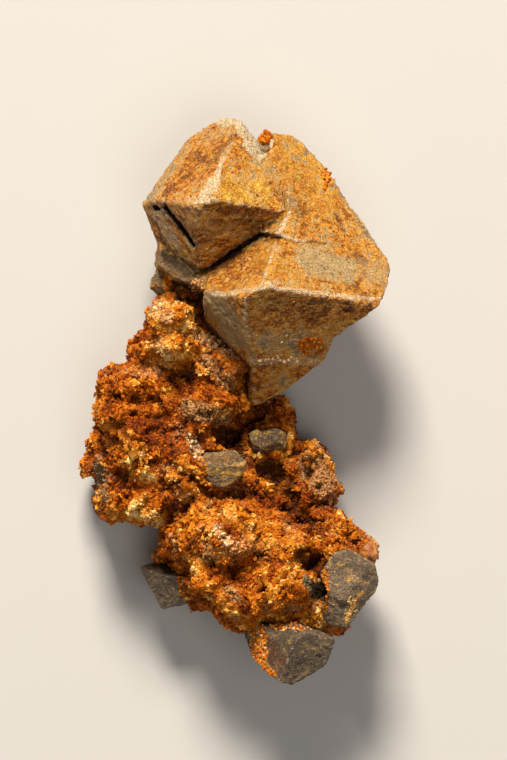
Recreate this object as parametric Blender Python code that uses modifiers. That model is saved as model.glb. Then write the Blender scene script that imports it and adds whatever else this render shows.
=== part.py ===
"""Stolzite crystals on a drusy, iron-stained matrix, lying on its flat broken back.

True size, 24.7 mm across and 45.5 mm long. X runs across the specimen, Y along it
towards the big crystals, and Z up towards the crystal faces. The flat back of the
matrix is at Z = 0 and the origin is the middle of the resting footprint.
All lengths below are in millimetres and are scaled once, where meshes are made.
"""
import bmesh
import bpy
from mathutils import Matrix, Vector, noise

MM = 0.001

# Crystals
FRONT = Vector((-0.25, 0.04, 0.967))
UP = Vector((0.16, 0.987, 0.0))
AXIS_RATIO = 1.1
MAIN_CORNER = (2.2, 9.2, 17.5)
BLANK_SIDE = 120.0
SOCKET_GAP = 0.3
LAYER_HIGH = 0.3
LAYER_LOW = 0.06
STEP_BACK = 0.26
LAYER_SINK = 0.05
LOWER_STEP = 0.4
SLOT_WIDTH = 0.5
SLOT_DEPTH = 1.2
NOTCH_SIZE = (0.95, 0.42, 2.0)
FREE_LEAN = -0.45
SEATED_LEAN = -0.2

# Matrix
VOXEL = 0.32
SWELL_HEIGHT = 0.5
SWELL_SIZE = 3.4
KNOT_HEIGHT = 0.45
KNOT_SIZE = 1.6
KNOT_TOP = 0.9
KNOT_FALL = 2.0
MATRIX_TRIANGLES = 8200
SPHERE_SEGMENTS = 20
SPHERE_RINGS = 12
FUSE_DISTANCE = 0.00002

# Lumps the matrix is grown from: centre x, y, z and radius x, y, z
LUMPS = {
    "knob upper lobe": (-4.84, 6.64, 6.8, 2.32, 1.32, 5.6),
    "knob lower lobe": (-4.84, 4.4, 6.4, 2.08, 1.52, 6.0),
    "knob stem": (-5.08, 8.64, 5.0, 0.64, 1.2, 2.2),
    "knob shoulder": (-7.24, 4.08, 5.2, 1.36, 1.44, 4.6),
    "under the knob": (-5.72, 1.76, 3.6, 3.04, 2.08, 5.6),
    "neck": (-1.64, 6.4, 1.2, 3.68, 4.96, 3.8),
    "neck root": (-1.48, 2.88, 3.6, 3.04, 2.56, 6.2),
    "left shoulder": (-8.68, 1.12, 4.6, 2.24, 1.68, 5.8),
    "left flank": (-9.16, -0.96, 4.4, 2.4, 2.16, 6.4),
    "left mass": (-7.88, -3.6, 3.8, 3.36, 4.64, 7.2),
    "high spur": (-11.0, -3.52, 4.6, 1.04, 0.72, 2.6),
    "low spur": (-11.24, -5.12, 4.2, 1.28, 1.04, 3.2),
    "left heel": (-9.64, -7.84, 4.2, 1.52, 1.92, 5.4),
    "left ledge": (-7.32, -8.4, 4.6, 2.08, 1.68, 6.0),
    "middle mass": (-3.56, -0.64, 3.0, 4.16, 3.52, 6.8),
    "middle crest": (-0.84, -0.08, 5.2, 2.4, 1.12, 4.8),
    "cavity floor": (0.92, -1.76, 0.8, 3.52, 3.52, 4.4),
    "waist": (-3.88, -5.44, 3.2, 5.12, 4.48, 6.6),
    "waist right": (2.2, -5.76, 2.4, 3.84, 4.0, 5.2),
    "behind the foot": (3.4, -1.92, 2.8, 1.92, 2.32, 3.6),
    "under the foot": (2.2, -0.64, 1.0, 2.08, 1.92, 3.2),
    "right lump top": (6.12, -4.8, 3.8, 1.36, 1.92, 4.0),
    "right lump": (6.52, -7.12, 4.0, 1.84, 1.84, 4.6),
    "right saddle": (6.2, -9.44, 3.4, 1.92, 2.08, 4.8),
    "chest": (-0.52, -11.04, 4.6, 5.6, 3.84, 7.8),
    "chest left": (-3.56, -11.04, 4.6, 2.32, 2.72, 6.8),
    "heel over the left crystal": (-5.96, -12.24, 5.4, 0.8, 0.48, 3.0),
    "chest right": (4.76, -11.68, 4.8, 3.52, 3.2, 6.4),
    "right shelf": (8.12, -11.52, 5.0, 2.08, 2.48, 5.4),
    "amber grain": (10.6, -11.92, 7.2, 0.96, 1.0, 2.8),
    "lower left": (-2.12, -14.24, 4.6, 2.16, 2.56, 6.8),
    "lower middle": (0.44, -15.6, 4.4, 2.72, 2.72, 7.4),
    "lower right": (3.96, -14.72, 4.4, 3.68, 3.36, 7.6),
    "core": (1.64, -12.64, 1.0, 5.12, 4.0, 4.5),
    "crust by the foot": (7.96, -17.12, 3.6, 1.44, 1.92, 4.4),
    "crust over the foot": (5.56, -17.04, 6.0, 2.16, 1.2, 3.8),
}

# Hollows carved into it: centre x, y, z and radius x, y, z
HOLLOWS = {
    "cavity": (-0.44, -2.8, 10.4, 1.52, 0.96, 5.4),
    "cavity by the pair": (2.52, -3.12, 9.8, 1.6, 1.04, 3.4),
    "pit right of the middle": (2.92, -5.52, 10.0, 1.52, 1.2, 4.6),
    "pit in the right arm": (5.32, -9.36, 11.6, 1.44, 1.04, 4.6),
    "pit above the right crystal": (6.44, -12.72, 12.4, 0.88, 1.04, 3.8),
    "pit left of the middle": (-2.84, -7.12, 12.0, 0.64, 0.64, 4.2),
    "shadow under the knob": (-5.16, 2.48, 12.6, 1.6, 0.48, 3.4),
    "gap beside the knob": (-3.0, 6.88, 12.6, 0.72, 1.44, 8.0),
}


def remove_everything():
    """Start from an empty scene."""
    for thing in list(bpy.data.objects):
        bpy.data.objects.remove(thing, do_unlink=True)
    for group in list(bpy.data.collections):
        bpy.data.collections.remove(group)


def crystal_direction(front, right, up):
    """A direction given along the crystals' shared front, right and up axes."""
    front_axis = FRONT.normalized()
    up_axis = (UP - front_axis * UP.dot(front_axis)).normalized()
    right_axis = up_axis.cross(front_axis)
    return (front_axis * front + right_axis * right + up_axis * up).normalized()


FLAT = 1.0 / AXIS_RATIO
UPPER_RIGHT = crystal_direction(1, FLAT, 1)
UPPER_LEFT = crystal_direction(1, -FLAT, 1)
LOWER_RIGHT = crystal_direction(1, FLAT, -1)
LOWER_LEFT = crystal_direction(1, -FLAT, -1)
BACK_UPPER_LEFT = crystal_direction(-1, -FLAT, 1)
BACK_LOWER_RIGHT = crystal_direction(-1, FLAT, -1)
BACK_LOWER_LEFT = crystal_direction(-1, -FLAT, -1)
BACK_UPPER_RIGHT = Vector((0.79, 0.43, -0.438)).normalized()


def plane(normal, point):
    """A crystal face, kept as its outward unit normal and a point on it."""
    return (Vector(normal).normalized(), Vector(point))


def moved(face, distance):
    """The same face moved outwards by a distance."""
    return (face[0], face[1] + face[0] * distance)


def on(face, x, y):
    """The point of a face that lies above the given x and y."""
    normal, point = face
    rest = normal.dot(point) - normal.x * x - normal.y * y
    return Vector((x, y, rest / normal.z))


def through(first, second, third, inside):
    """The face through three points that leaves the inside point behind it."""
    normal = (second - first).cross(third - first).normalized()
    if normal.dot(inside - first) > 0:
        normal = -normal
    return (normal, first.copy())


def wall(start, end, lean, height):
    """A steep face that stands on the line from start to end, body to the right of it."""
    along = Vector((end[0] - start[0], end[1] - start[1], 0.0)).normalized()
    normal = Vector((-along.y, along.x, lean))
    middle = Vector(((start[0] + end[0]) / 2, (start[1] + end[1]) / 2, height))
    return plane(normal, middle)


def walls(outline, fronts, lean):
    """Steep faces along a clockwise outline, each meeting the front faces on its line."""
    made = []
    for start, end in zip(outline, outline[1:]):
        x = (start[0] + end[0]) / 2
        y = (start[1] + end[1]) / 2
        height = min(on(front, x, y).z for front in fronts)
        made.append(wall(start, end, lean, height))
    return made


def main_faces():
    """The four front faces of the large crystal."""
    corner = Vector(MAIN_CORNER)
    upper_left = plane(UPPER_LEFT, corner)
    return {
        "upper right": plane(UPPER_RIGHT, corner),
        "upper left": upper_left,
        "lower right": plane(LOWER_RIGHT, corner),
        "lower left": plane(LOWER_LEFT, on(upper_left, 0.68, 8.24)),
    }


def large_crystal():
    """The large crystal, broken off along a ledge near its foot."""
    face = main_faces()
    upper = face["upper right"]
    lower = face["lower right"]
    return [
        upper,
        face["upper left"],
        lower,
        face["lower left"],
        plane(BACK_UPPER_RIGHT, on(upper, 10.36, 14.08)),
        plane(BACK_LOWER_RIGHT, on(lower, 10.04, 6.56)),
        plane(BACK_UPPER_LEFT, on(upper, 5.24, 20.16)),
        plane(BACK_LOWER_LEFT, (4.04, 8.16, 2.4)),
        plane((0.12, 0.05, -0.99), (4.44, 8.96, 0.9)),
        plane((0.985, -0.08, 0.12), on(upper, 12.24, 10.16)),
        plane((0.97, 0.2, 0.12), on(upper, 12.16, 11.52)),
        plane((-0.955, 0.155, -0.1), (-2.48, 8.4, 12.0)),
        wall((1.32, 3.2), (-2.28, 7.12), 0.15, 8.8),
        plane((0.03, -0.98, 0.2), on(lower, 3.24, 3.24)),
    ]


def growth_steps():
    """The slightly lower layers that edge the large crystal on its lower left."""
    face = main_faces()
    return [
        moved(face["upper left"], -2 * STEP_BACK),
        moved(face["lower right"], -LOWER_STEP),
        moved(face["lower left"], -STEP_BACK),
        wall((1.08, 2.72), (-2.36, 6.48), 0.1, 8.0),
        wall((-2.36, 5.76), (-2.28, 8.16), 0.0, 8.0),
        wall((-2.76, 7.76), (2.04, 7.36), 0.2, 9.0),
        plane((0.0, -1.0, 0.0), (1.24, 2.88, 9.0)),
        plane((1.0, 0.0, 0.0), (2.2, 4.96, 9.0)),
        plane((0.0, 0.0, -1.0), (0.44, 4.96, 4.4)),
    ]


def raised_face():
    """The top of the raised layer, which runs out towards the right tip."""
    upper = main_faces()["upper right"]
    high = on(upper, 4.04, 13.36) + UPPER_RIGHT * LAYER_HIGH
    low = on(upper, 10.2, 11.2) + UPPER_RIGHT * LAYER_LOW
    middle = on(upper, 8.84, 16.96) + UPPER_RIGHT * (LAYER_HIGH + LAYER_LOW) / 2
    return through(high, low, middle, Vector(MAIN_CORNER) - FRONT * 5)


def raised_layer():
    """The raised growth layer on the large crystal's upper right face."""
    top = raised_face()
    left = plane(UPPER_LEFT, on(top, 4.0, 14.32))
    return [
        top,
        left,
        plane((0.27, -0.8, 0.58), on(top, 4.6, 12.96)),
        plane((-0.42, -0.88, 0.2), on(left, 3.0, 13.44)),
        plane((0.62, 0.36, 0.7), on(top, 9.16, 12.8)),
        plane(BACK_UPPER_RIGHT, on(top, 10.2, 14.08)),
        plane(BACK_UPPER_LEFT, on(top, 5.24, 20.16)),
        plane(-UPPER_RIGHT, Vector(MAIN_CORNER) - UPPER_RIGHT * 2),
    ]


def upper_block():
    """The parallel block at the top right."""
    top = raised_face()
    return [
        top,
        plane(BACK_UPPER_RIGHT, on(top, 10.44, 14.08)),
        plane((0.755, 0.655, -0.2), on(top, 6.36, 19.76)),
        plane((-0.04, 0.97, -0.25), on(top, 3.88, 21.44)),
        plane((0.42, 0.9, -0.1), on(top, 5.56, 20.8)),
        plane((-0.75, 0.1, 0.65), on(top, 2.88, 20.8)),
        plane((-0.6, 0.78, -0.1), (2.36, 21.36, 8.0)),
        plane(-UPPER_RIGHT, Vector(MAIN_CORNER) - UPPER_RIGHT * 6),
        plane((0.0, -1.0, 0.3), on(top, 4.28, 15.2)),
        plane(BACK_UPPER_LEFT, (4.04, 20.16, 3.0)),
    ]


def second_faces():
    """The front faces of the upper left crystal."""
    top = plane(UPPER_RIGHT, on(raised_face(), 3.16, 16.96) - UPPER_RIGHT * LAYER_SINK)
    corner = on(top, -2.28, 16.08)
    left = plane(UPPER_LEFT, corner)
    lower = plane(LOWER_RIGHT, on(top, 1.24, 15.64))
    return {
        "upper right": top,
        "upper left": left,
        "lower right": lower,
        "lower left": plane(LOWER_LEFT, on(left, -4.28, 15.76)),
        "corner": corner,
        "back lower right": plane(BACK_LOWER_RIGHT, on(lower, 1.24, 13.04)),
    }


def upper_left_crystal():
    """The upper left crystal with its cut front edge and the bevel at its top."""
    face = second_faces()
    top = face["upper right"]
    left = face["upper left"]
    behind = face["corner"] - FRONT * 3
    return [
        top,
        left,
        face["lower right"],
        face["lower left"],
        through(on(top, -1.0, 18.56), on(top, -1.56, 16.08), on(left, -3.16, 15.8), behind),
        plane((0.772, 0.465, 0.432), on(top, 0.52, 22.48)),
        plane((0.72, 0.69, -0.25), (1.28, 21.76, 9.5)),
        plane(BACK_UPPER_LEFT, on(left, -2.92, 21.56)),
        plane((-0.2, 0.97, 0.1), on(left, -0.52, 22.72)),
        plane((-0.731, 0.636, 0.244), on(left, -5.32, 18.08)),
        plane((-0.84, 0.47, -0.28), (-5.8, 18.24, 7.4)),
        plane((-0.93, -0.3, -0.1), (-6.68, 13.76, 8.0)),
        plane((-0.42, -0.907, -0.25), (-4.28, 11.6, 7.5)),
        face["back lower right"],
        plane(BACK_LOWER_LEFT, (-1.56, 16.16, 1.0)),
        plane((0.9, 0.1, -0.3), (5.24, 16.96, 9.0)),
        plane((0.3, 0.1, -0.9), (-1.56, 16.16, 3.5)),
    ]


def bridge_between():
    """The part of the upper left crystal that runs into the large one."""
    face = second_faces()
    top = face["upper right"]
    return [
        top,
        face["lower right"],
        face["back lower right"],
        plane((-0.35, 0.93, 0.1), on(top, 2.2, 19.68)),
        plane((-1.0, 0.0, 0.0), (0.28, 16.96, 9.0)),
        plane((1.0, 0.15, -0.1), on(top, 4.12, 15.12)),
        plane((0.2, 0.0, -0.9), (2.84, 16.96, 7.0)),
    ]


def lower_foot():
    """The lower parallel crystal that sticks out under the ledge."""
    lower = main_faces()["lower right"]
    front = plane(LOWER_RIGHT, on(lower, 3.24, 2.96) - Vector((0.0, 0.0, 1.0)))
    return [
        front,
        plane(LOWER_LEFT, on(front, 1.44, 2.4)),
        plane((0.93, -0.3, -0.1), on(front, 7.56, 4.16)),
        plane((0.66, -0.74, -0.25), on(front, 5.8, 2.24)),
        plane((0.45, -0.87, -0.25), on(front, 4.28, 0.96)),
        plane(BACK_LOWER_LEFT, (4.04, 4.16, 2.4)),
        plane((0.12, 0.05, -0.99), (4.44, 8.96, 1.2)),
        plane((0.0, 1.0, 0.0), (3.64, 6.56, 10.0)),
        plane((-0.2, -0.97, 0.0), (1.88, -0.36, 8.0)),
        plane((-0.98, 0.0, 0.1), on(front, 1.28, 1.76)),
    ]


def side_plate():
    """The tilted plate under the upper left crystal."""
    return [
        plane((-0.25, 0.5, 0.83), (-4.12, 10.4, 9.5)),
        plane((-0.9, 0.1, 0.1), (-5.96, 11.2, 9.0)),
        plane((-0.66, -0.75, 0.1), (-5.32, 10.2, 8.0)),
        plane((-0.4, -0.9, 0.1), (-4.04, 9.48, 8.0)),
        plane((0.3, 0.95, 0.0), (-4.52, 12.16, 8.0)),
        plane((0.0, 0.0, -1.0), (-4.36, 10.56, 5.5)),
        plane((1.0, 0.0, 0.0), (-1.0, 9.76, 9.0)),
    ]


def side_crystal():
    """The little grey crystal beside the plate."""
    fronts = [
        plane((-0.4, 0.35, 0.85), (-6.2, 9.52, 6.5)),
        plane((-0.3, -0.6, 0.74), (-6.28, 8.96, 6.3)),
    ]
    free = [(-5.0, 8.32), (-6.28, 8.4), (-6.76, 9.12), (-6.76, 9.92), (-6.12, 10.8)]
    seated = [(-6.12, 10.8), (-5.24, 10.72), (-5.0, 8.32)]
    back = plane((0.0, 0.0, -1.0), (-6.2, 9.52, 3.3))
    return fronts + walls(free, fronts, FREE_LEAN) + walls(seated, fronts, 0.0) + [back]


def left_crystal():
    """The crystal low on the left, pointing out to the side."""
    inside = Vector((-5.16, -14.64, 3.0))
    tip = Vector((-7.56, -13.36, 5.4))
    crest = Vector((-3.96, -14.48, 7.8))
    foot = Vector((-5.72, -16.8, 5.2))
    top = Vector((-5.0, -12.88, 4.2))
    fronts = [
        through(tip, crest, foot, inside),
        through(tip, crest, top, inside),
        plane((0.0, -0.5, 0.85), (-4.36, -15.84, 5.8)),
    ]
    free = [(-2.92, -15.92), (-5.8, -16.84), (-7.56, -13.36), (-6.6, -12.84), (-5.0, -12.76)]
    seated = [(-5.0, -12.76), (-3.72, -12.8), (-2.6, -14.08), (-2.92, -15.92)]
    back = plane((-0.3, 0.0, -0.95), (-5.16, -14.64, 1.4))
    return fronts + walls(free, fronts, FREE_LEAN) + walls(seated, fronts, 0.0) + [back]


def foot_crystal():
    """The crystal at the bottom end, with a ridge down its front."""
    inside = Vector((4.04, -19.44, 5.0))
    ridge_top = Vector((5.48, -17.84, 12.0))
    ridge_foot = Vector((3.56, -22.16, 10.9))
    fronts = [
        through(ridge_top, ridge_foot, Vector((0.84, -18.72, 7.6)), inside),
        through(ridge_top, ridge_foot, Vector((7.88, -19.12, 11.0)), inside),
        plane((-0.35, 0.75, 0.55), (1.64, -18.32, 8.7)),
        plane((0.3, 0.8, 0.5), (6.68, -18.48, 11.3)),
    ]
    free = [(8.04, -18.8), (7.48, -21.04), (4.44, -22.76), (2.28, -21.84), (1.16, -20.32), (0.6, -18.32)]
    seated = [(0.6, -18.32), (2.2, -17.84), (5.48, -17.6), (6.92, -18.4), (8.04, -18.8)]
    back = plane((-0.1, -0.3, -0.95), (4.04, -19.84, 2.2))
    return fronts + walls(free, fronts, FREE_LEAN) + walls(seated, fronts, 0.0) + [back]


def right_crystal():
    """The upper part of the stepped crystal low on the right."""
    fronts = [
        plane((0.1, 0.12, 0.98), (9.4, -13.84, 12.2)),
        plane((-0.35, 0.1, 0.93), (7.72, -14.08, 12.0)),
        plane((0.6, -0.3, 0.74), (11.08, -14.88, 11.0)),
        plane((0.25, 0.75, 0.6), (10.2, -12.56, 11.5)),
    ]
    free = [(8.92, -11.76), (9.8, -11.92), (11.16, -13.12), (11.56, -14.0), (11.36, -15.12), (10.68, -15.84)]
    seated = [(10.68, -15.84), (8.44, -16.0), (7.48, -15.2), (6.84, -13.76), (7.96, -12.08), (8.92, -11.76)]
    back = plane((0.2, 0.0, -0.95), (9.24, -14.24, 3.6))
    return fronts + walls(free, fronts, FREE_LEAN) + walls(seated, fronts, 0.0) + [back]


def right_crystal_step():
    """The lower step of the same crystal."""
    fronts = [
        plane((0.04, -0.22, 0.97), (8.84, -16.08, 11.9)),
        plane((-0.5, -0.45, 0.74), (7.56, -16.8, 11.2)),
        plane((0.7, -0.3, 0.65), (9.88, -16.32, 11.2)),
    ]
    free = [(10.84, -14.88), (10.92, -15.2), (10.2, -16.72), (9.0, -17.92), (7.64, -18.08)]
    seated = [(7.64, -18.08), (7.0, -17.04), (7.56, -14.72), (8.92, -14.56), (10.84, -14.88)]
    back = plane((0.2, 0.2, -0.95), (8.84, -16.24, 5.0))
    return fronts + walls(free, fronts, FREE_LEAN) + walls(seated, fronts, 0.0) + [back]


def centre_crystal():
    """The crystal in the middle of the matrix."""
    inside = Vector((-1.0, -5.44, 6.0))
    edge_left = Vector((-2.76, -5.12, 10.0))
    edge_right = Vector((1.0, -5.12, 10.4))
    fronts = [
        through(edge_left, edge_right, Vector((-1.16, -4.0, 9.4)), inside),
        through(edge_left, edge_right, Vector((-0.76, -6.96, 9.2)), inside),
        plane((-0.7, -0.35, 0.6), (-2.6, -5.76, 9.6)),
        plane((0.75, -0.45, 0.5), (0.68, -5.84, 9.8)),
    ]
    outline = [
        (-3.04, -5.2), (-2.36, -4.0), (0.2, -3.96), (1.04, -4.88),
        (0.68, -5.84), (-0.76, -7.0), (-1.8, -6.72), (-3.04, -5.2),
    ]
    back = plane((0.0, 0.0, -1.0), (-1.16, -5.44, 5.0))
    return fronts + walls(outline, fronts, SEATED_LEAN) + [back]


def cavity_left():
    """The smaller of the two crystals in the hollow."""
    fronts = [
        plane((-0.35, 0.4, 0.85), (1.72, -3.04, 7.4)),
        plane((-0.3, -0.6, 0.7), (1.72, -3.68, 7.0)),
        plane((0.6, 0.1, 0.8), (1.96, -3.04, 7.3)),
    ]
    outline = [(1.16, -2.56), (1.72, -2.24), (2.28, -2.4), (2.28, -3.92), (1.4, -3.84), (1.16, -2.56)]
    back = plane((0.0, 0.0, -1.0), (1.72, -3.04, 4.0))
    return fronts + walls(outline, fronts, 0.0) + [back]


def cavity_right():
    """The larger of the two crystals in the hollow."""
    fronts = [
        plane((0.15, 0.4, 0.88), (3.16, -3.04, 7.8)),
        plane((0.1, -0.75, 0.6), (3.16, -3.6, 7.4)),
        plane((-0.6, 0.1, 0.8), (2.6, -3.04, 7.6)),
        plane((0.7, 0.1, 0.7), (3.8, -3.04, 7.4)),
    ]
    outline = [(2.24, -2.4), (3.24, -2.16), (4.12, -2.48), (4.12, -3.76), (2.24, -3.92), (2.24, -2.4)]
    back = plane((0.0, 0.0, -1.0), (3.16, -3.04, 4.0))
    return fronts + walls(outline, fronts, 0.0) + [back]


# Each crystal and the individuals it is grown together from
CRYSTALS = {
    "stolzite_main": [
        large_crystal,
        growth_steps,
        raised_layer,
        upper_block,
        bridge_between,
        upper_left_crystal,
        lower_foot,
        side_plate,
        side_crystal,
    ],
    "stolzite_left": [left_crystal],
    "stolzite_foot": [foot_crystal],
    "stolzite_right": [right_crystal, right_crystal_step],
    "stolzite_centre": [centre_crystal],
    "stolzite_cavity": [cavity_left, cavity_right],
}


def object_from(name, bm, group):
    """Turn a bmesh made in millimetres into a named object in metres."""
    bmesh.ops.scale(bm, vec=(MM, MM, MM), verts=bm.verts)
    mesh = bpy.data.meshes.new(name)
    bm.to_mesh(mesh)
    bm.free()
    made = bpy.data.objects.new(name, mesh)
    group.objects.link(made)
    return made


def cut_solid(name, faces, group, grow=0.0):
    """A convex crystal: a block cut once along each of its faces."""
    bm = bmesh.new()
    bmesh.ops.create_cube(bm, size=BLANK_SIDE)
    for normal, point in faces:
        parts = bm.verts[:] + bm.edges[:] + bm.faces[:]
        place = point + normal * grow
        cut = bmesh.ops.bisect_plane(bm, geom=parts, plane_co=place, plane_no=normal, clear_outer=True)
        rim = [part for part in cut["geom_cut"] if isinstance(part, bmesh.types.BMEdge)]
        if rim:
            bmesh.ops.contextual_create(bm, geom=rim)
    bmesh.ops.recalc_face_normals(bm, faces=bm.faces)
    return object_from(name, bm, group)


def apply_modifiers(target):
    """Keep the result of the modifiers as the object's own mesh."""
    graph = bpy.context.evaluated_depsgraph_get()
    graph.update()
    result = bpy.data.meshes.new_from_object(target.evaluated_get(graph))
    old = target.data
    target.modifiers.clear()
    target.data = result
    bpy.data.meshes.remove(old)


def combine(target, other, operation):
    """Join another solid to the target, or cut it away, and drop the other one."""
    step = target.modifiers.new(operation.lower(), "BOOLEAN")
    step.operation = operation
    step.solver = "EXACT"
    step.object = other
    apply_modifiers(target)
    bpy.data.objects.remove(other, do_unlink=True)


def tidy_solid(target):
    """Merge doubled corners, drop loose crumbs and face the solid outwards."""
    bm = bmesh.new()
    bm.from_mesh(target.data)
    bmesh.ops.remove_doubles(bm, verts=bm.verts, dist=FUSE_DISTANCE)
    bmesh.ops.dissolve_degenerate(bm, edges=bm.edges, dist=FUSE_DISTANCE)
    keep_largest(bm)
    bmesh.ops.triangulate(bm, faces=bm.faces)
    bmesh.ops.recalc_face_normals(bm, faces=bm.faces)
    bm.to_mesh(target.data)
    bm.free()


def keep_largest(bm):
    """Drop every body of the mesh but the one with the most corners."""
    unseen = set(bm.verts)
    bodies = []
    while unseen:
        reach = [unseen.pop()]
        body = []
        while reach:
            corner = reach.pop()
            body.append(corner)
            for edge in corner.link_edges:
                other = edge.other_vert(corner)
                if other in unseen:
                    unseen.remove(other)
                    reach.append(other)
        bodies.append(body)
    bodies.sort(key=len)
    for body in bodies[:-1]:
        bmesh.ops.delete(bm, geom=body, context="VERTS")


def front_box(name, middle, lengthwise, sizes, group):
    """A box that runs in from the crystals' front, turned to a direction across it."""
    inwards = FRONT.normalized()
    along = (lengthwise - inwards * lengthwise.dot(inwards)).normalized()
    turn = Matrix((along.cross(inwards), along, inwards)).transposed().to_4x4()
    shape = Matrix.Translation(middle) @ turn @ Matrix.Diagonal(tuple(sizes) + (1.0,))
    bm = bmesh.new()
    bmesh.ops.create_cube(bm, size=1.0, matrix=shape)
    return object_from(name, bm, group)


def slot_cutter(name, group):
    """The dark groove between the upper left crystal and the slab on its left."""
    face = second_faces()["lower left"]
    start = on(face, -5.64, 15.76)
    end = on(face, -3.12, 12.4)
    sizes = (SLOT_WIDTH, (end - start).length, 2 * SLOT_DEPTH)
    return front_box(name, (start + end) / 2, end - start, sizes, group)


def notch_cutter(name, group):
    """The dark notch at the top of the slab."""
    place = on(second_faces()["lower left"], -6.24, 15.52)
    return front_box(name, place, UP, NOTCH_SIZE, group)


def build_crystal(name, group):
    """One crystal node: its individuals joined into one solid."""
    makers = CRYSTALS[name]
    crystal = cut_solid(name, makers[0](), group)
    for maker in makers[1:]:
        combine(crystal, cut_solid("individual", maker(), group), "UNION")
    return crystal


def build_main_crystal(group):
    """The main crystal group, with its groove and notch."""
    crystal = build_crystal("stolzite_main", group)
    combine(crystal, slot_cutter("slot", group), "DIFFERENCE")
    combine(crystal, notch_cutter("notch", group), "DIFFERENCE")
    return crystal


def lump_solid(name, lumps, group):
    """All lumps of a table as one mesh of overlapping rounded bodies."""
    bm = bmesh.new()
    for x, y, z, radius_x, radius_y, radius_z in lumps.values():
        shape = Matrix.Translation((x, y, z)) @ Matrix.Diagonal((radius_x, radius_y, radius_z, 1.0))
        bmesh.ops.create_uvsphere(
            bm, u_segments=SPHERE_SEGMENTS, v_segments=SPHERE_RINGS, radius=1.0, matrix=shape
        )
    return object_from(name, bm, group)


def remesh(target):
    """Fuse the mesh into one even skin."""
    step = target.modifiers.new("remesh", "REMESH")
    step.mode = "VOXEL"
    step.voxel_size = VOXEL * MM
    apply_modifiers(target)


def knot(place):
    """Height of the rounded knots of crust at a place, from -1 to 1."""
    nearest = noise.voronoi(place / KNOT_SIZE)[0][0]
    return KNOT_TOP - KNOT_FALL * nearest


def roughen(target):
    """Push the skin in and out into swells and rounded knots."""
    bm = bmesh.new()
    bm.from_mesh(target.data)
    bm.normal_update()
    pushes = []
    for corner in bm.verts:
        place = corner.co / MM
        swell = noise.fractal(place / SWELL_SIZE, 1.0, 2.0, 3)
        push = SWELL_HEIGHT * swell + KNOT_HEIGHT * knot(place)
        pushes.append(corner.normal * push * MM)
    for corner, push in zip(bm.verts, pushes):
        corner.co += push
    bm.to_mesh(target.data)
    bm.free()


def flatten_back(target, group):
    """Cut the matrix off flat where it rests."""
    bm = bmesh.new()
    half = BLANK_SIDE / 2
    bmesh.ops.create_cube(bm, size=BLANK_SIDE, matrix=Matrix.Translation((0.0, 0.0, -half)))
    combine(target, object_from("ground", bm, group), "DIFFERENCE")


def thin_out(target, triangles):
    """Reduce the mesh to a number of triangles."""
    step = target.modifiers.new("thin", "DECIMATE")
    present = sum(len(polygon.vertices) - 2 for polygon in target.data.polygons)
    step.ratio = min(1.0, triangles / present)
    apply_modifiers(target)


def cut_sockets(target, group):
    """Cut the seats of the crystals into the matrix, a little larger than the crystals."""
    for makers in CRYSTALS.values():
        for maker in makers:
            seat = cut_solid("seat", maker(), group, grow=SOCKET_GAP)
            combine(target, seat, "DIFFERENCE")


def build_matrix(group):
    """The matrix: lumps grown together, hollowed, roughened and seated."""
    matrix = lump_solid("matrix", LUMPS, group)
    remesh(matrix)
    for name, hollow in HOLLOWS.items():
        combine(matrix, lump_solid(name, {name: hollow}, group), "DIFFERENCE")
    remesh(matrix)
    roughen(matrix)
    remesh(matrix)
    thin_out(matrix, MATRIX_TRIANGLES)
    flatten_back(matrix, group)
    cut_sockets(matrix, group)
    return matrix


def crystal_material():
    """Dull taupe grey, as the crystal faces are under their stain."""
    return plain_material("stolzite", (0.3, 0.23, 0.15, 1.0), 0.55)


def matrix_material():
    """Rusty orange brown crust."""
    return plain_material("limonite_crust", (0.42, 0.17, 0.035, 1.0), 0.85)


def plain_material(name, colour, roughness):
    """A Principled material of one colour."""
    material = bpy.data.materials.new(name)
    material.use_nodes = True
    shader = material.node_tree.nodes["Principled BSDF"]
    shader.inputs["Base Color"].default_value = colour
    shader.inputs["Roughness"].default_value = roughness
    shader.inputs["Metallic"].default_value = 0.0
    return material


def centre_on_origin(solids):
    """Move all solids so that the origin is the middle of their footprint's box."""
    corners = [corner.co for solid in solids for corner in solid.data.vertices]
    middle_x = (min(c.x for c in corners) + max(c.x for c in corners)) / 2
    middle_y = (min(c.y for c in corners) + max(c.y for c in corners)) / 2
    move = Matrix.Translation((-middle_x, -middle_y, 0.0))
    for solid in solids:
        solid.data.transform(move)


def main():
    """Build the specimen."""
    remove_everything()
    group = bpy.data.collections.new("stolzite_specimen")
    bpy.context.scene.collection.children.link(group)
    matrix = build_matrix(group)
    crystals = [build_main_crystal(group)]
    crystals += [build_crystal(name, group) for name in list(CRYSTALS)[1:]]
    grey = crystal_material()
    for crystal in crystals:
        tidy_solid(crystal)
        crystal.data.materials.append(grey)
    tidy_solid(matrix)
    matrix.data.materials.append(matrix_material())
    centre_on_origin([matrix] + crystals)


main()
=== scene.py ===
"""Looks of the stolzite specimen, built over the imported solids.

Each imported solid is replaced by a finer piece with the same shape: crystal faces with
growth relief, worn pale edges and iron stain, and a matrix covered with a sugary druse.
Lengths here are in millimetres and are scaled once, where meshes are written.
X runs across the specimen, Y along it towards the big crystals, and Z up from the floor.
"""
import itertools
import math

import bmesh
import bpy
import numpy as np
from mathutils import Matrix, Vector
from mathutils.bvhtree import BVHTree


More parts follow.
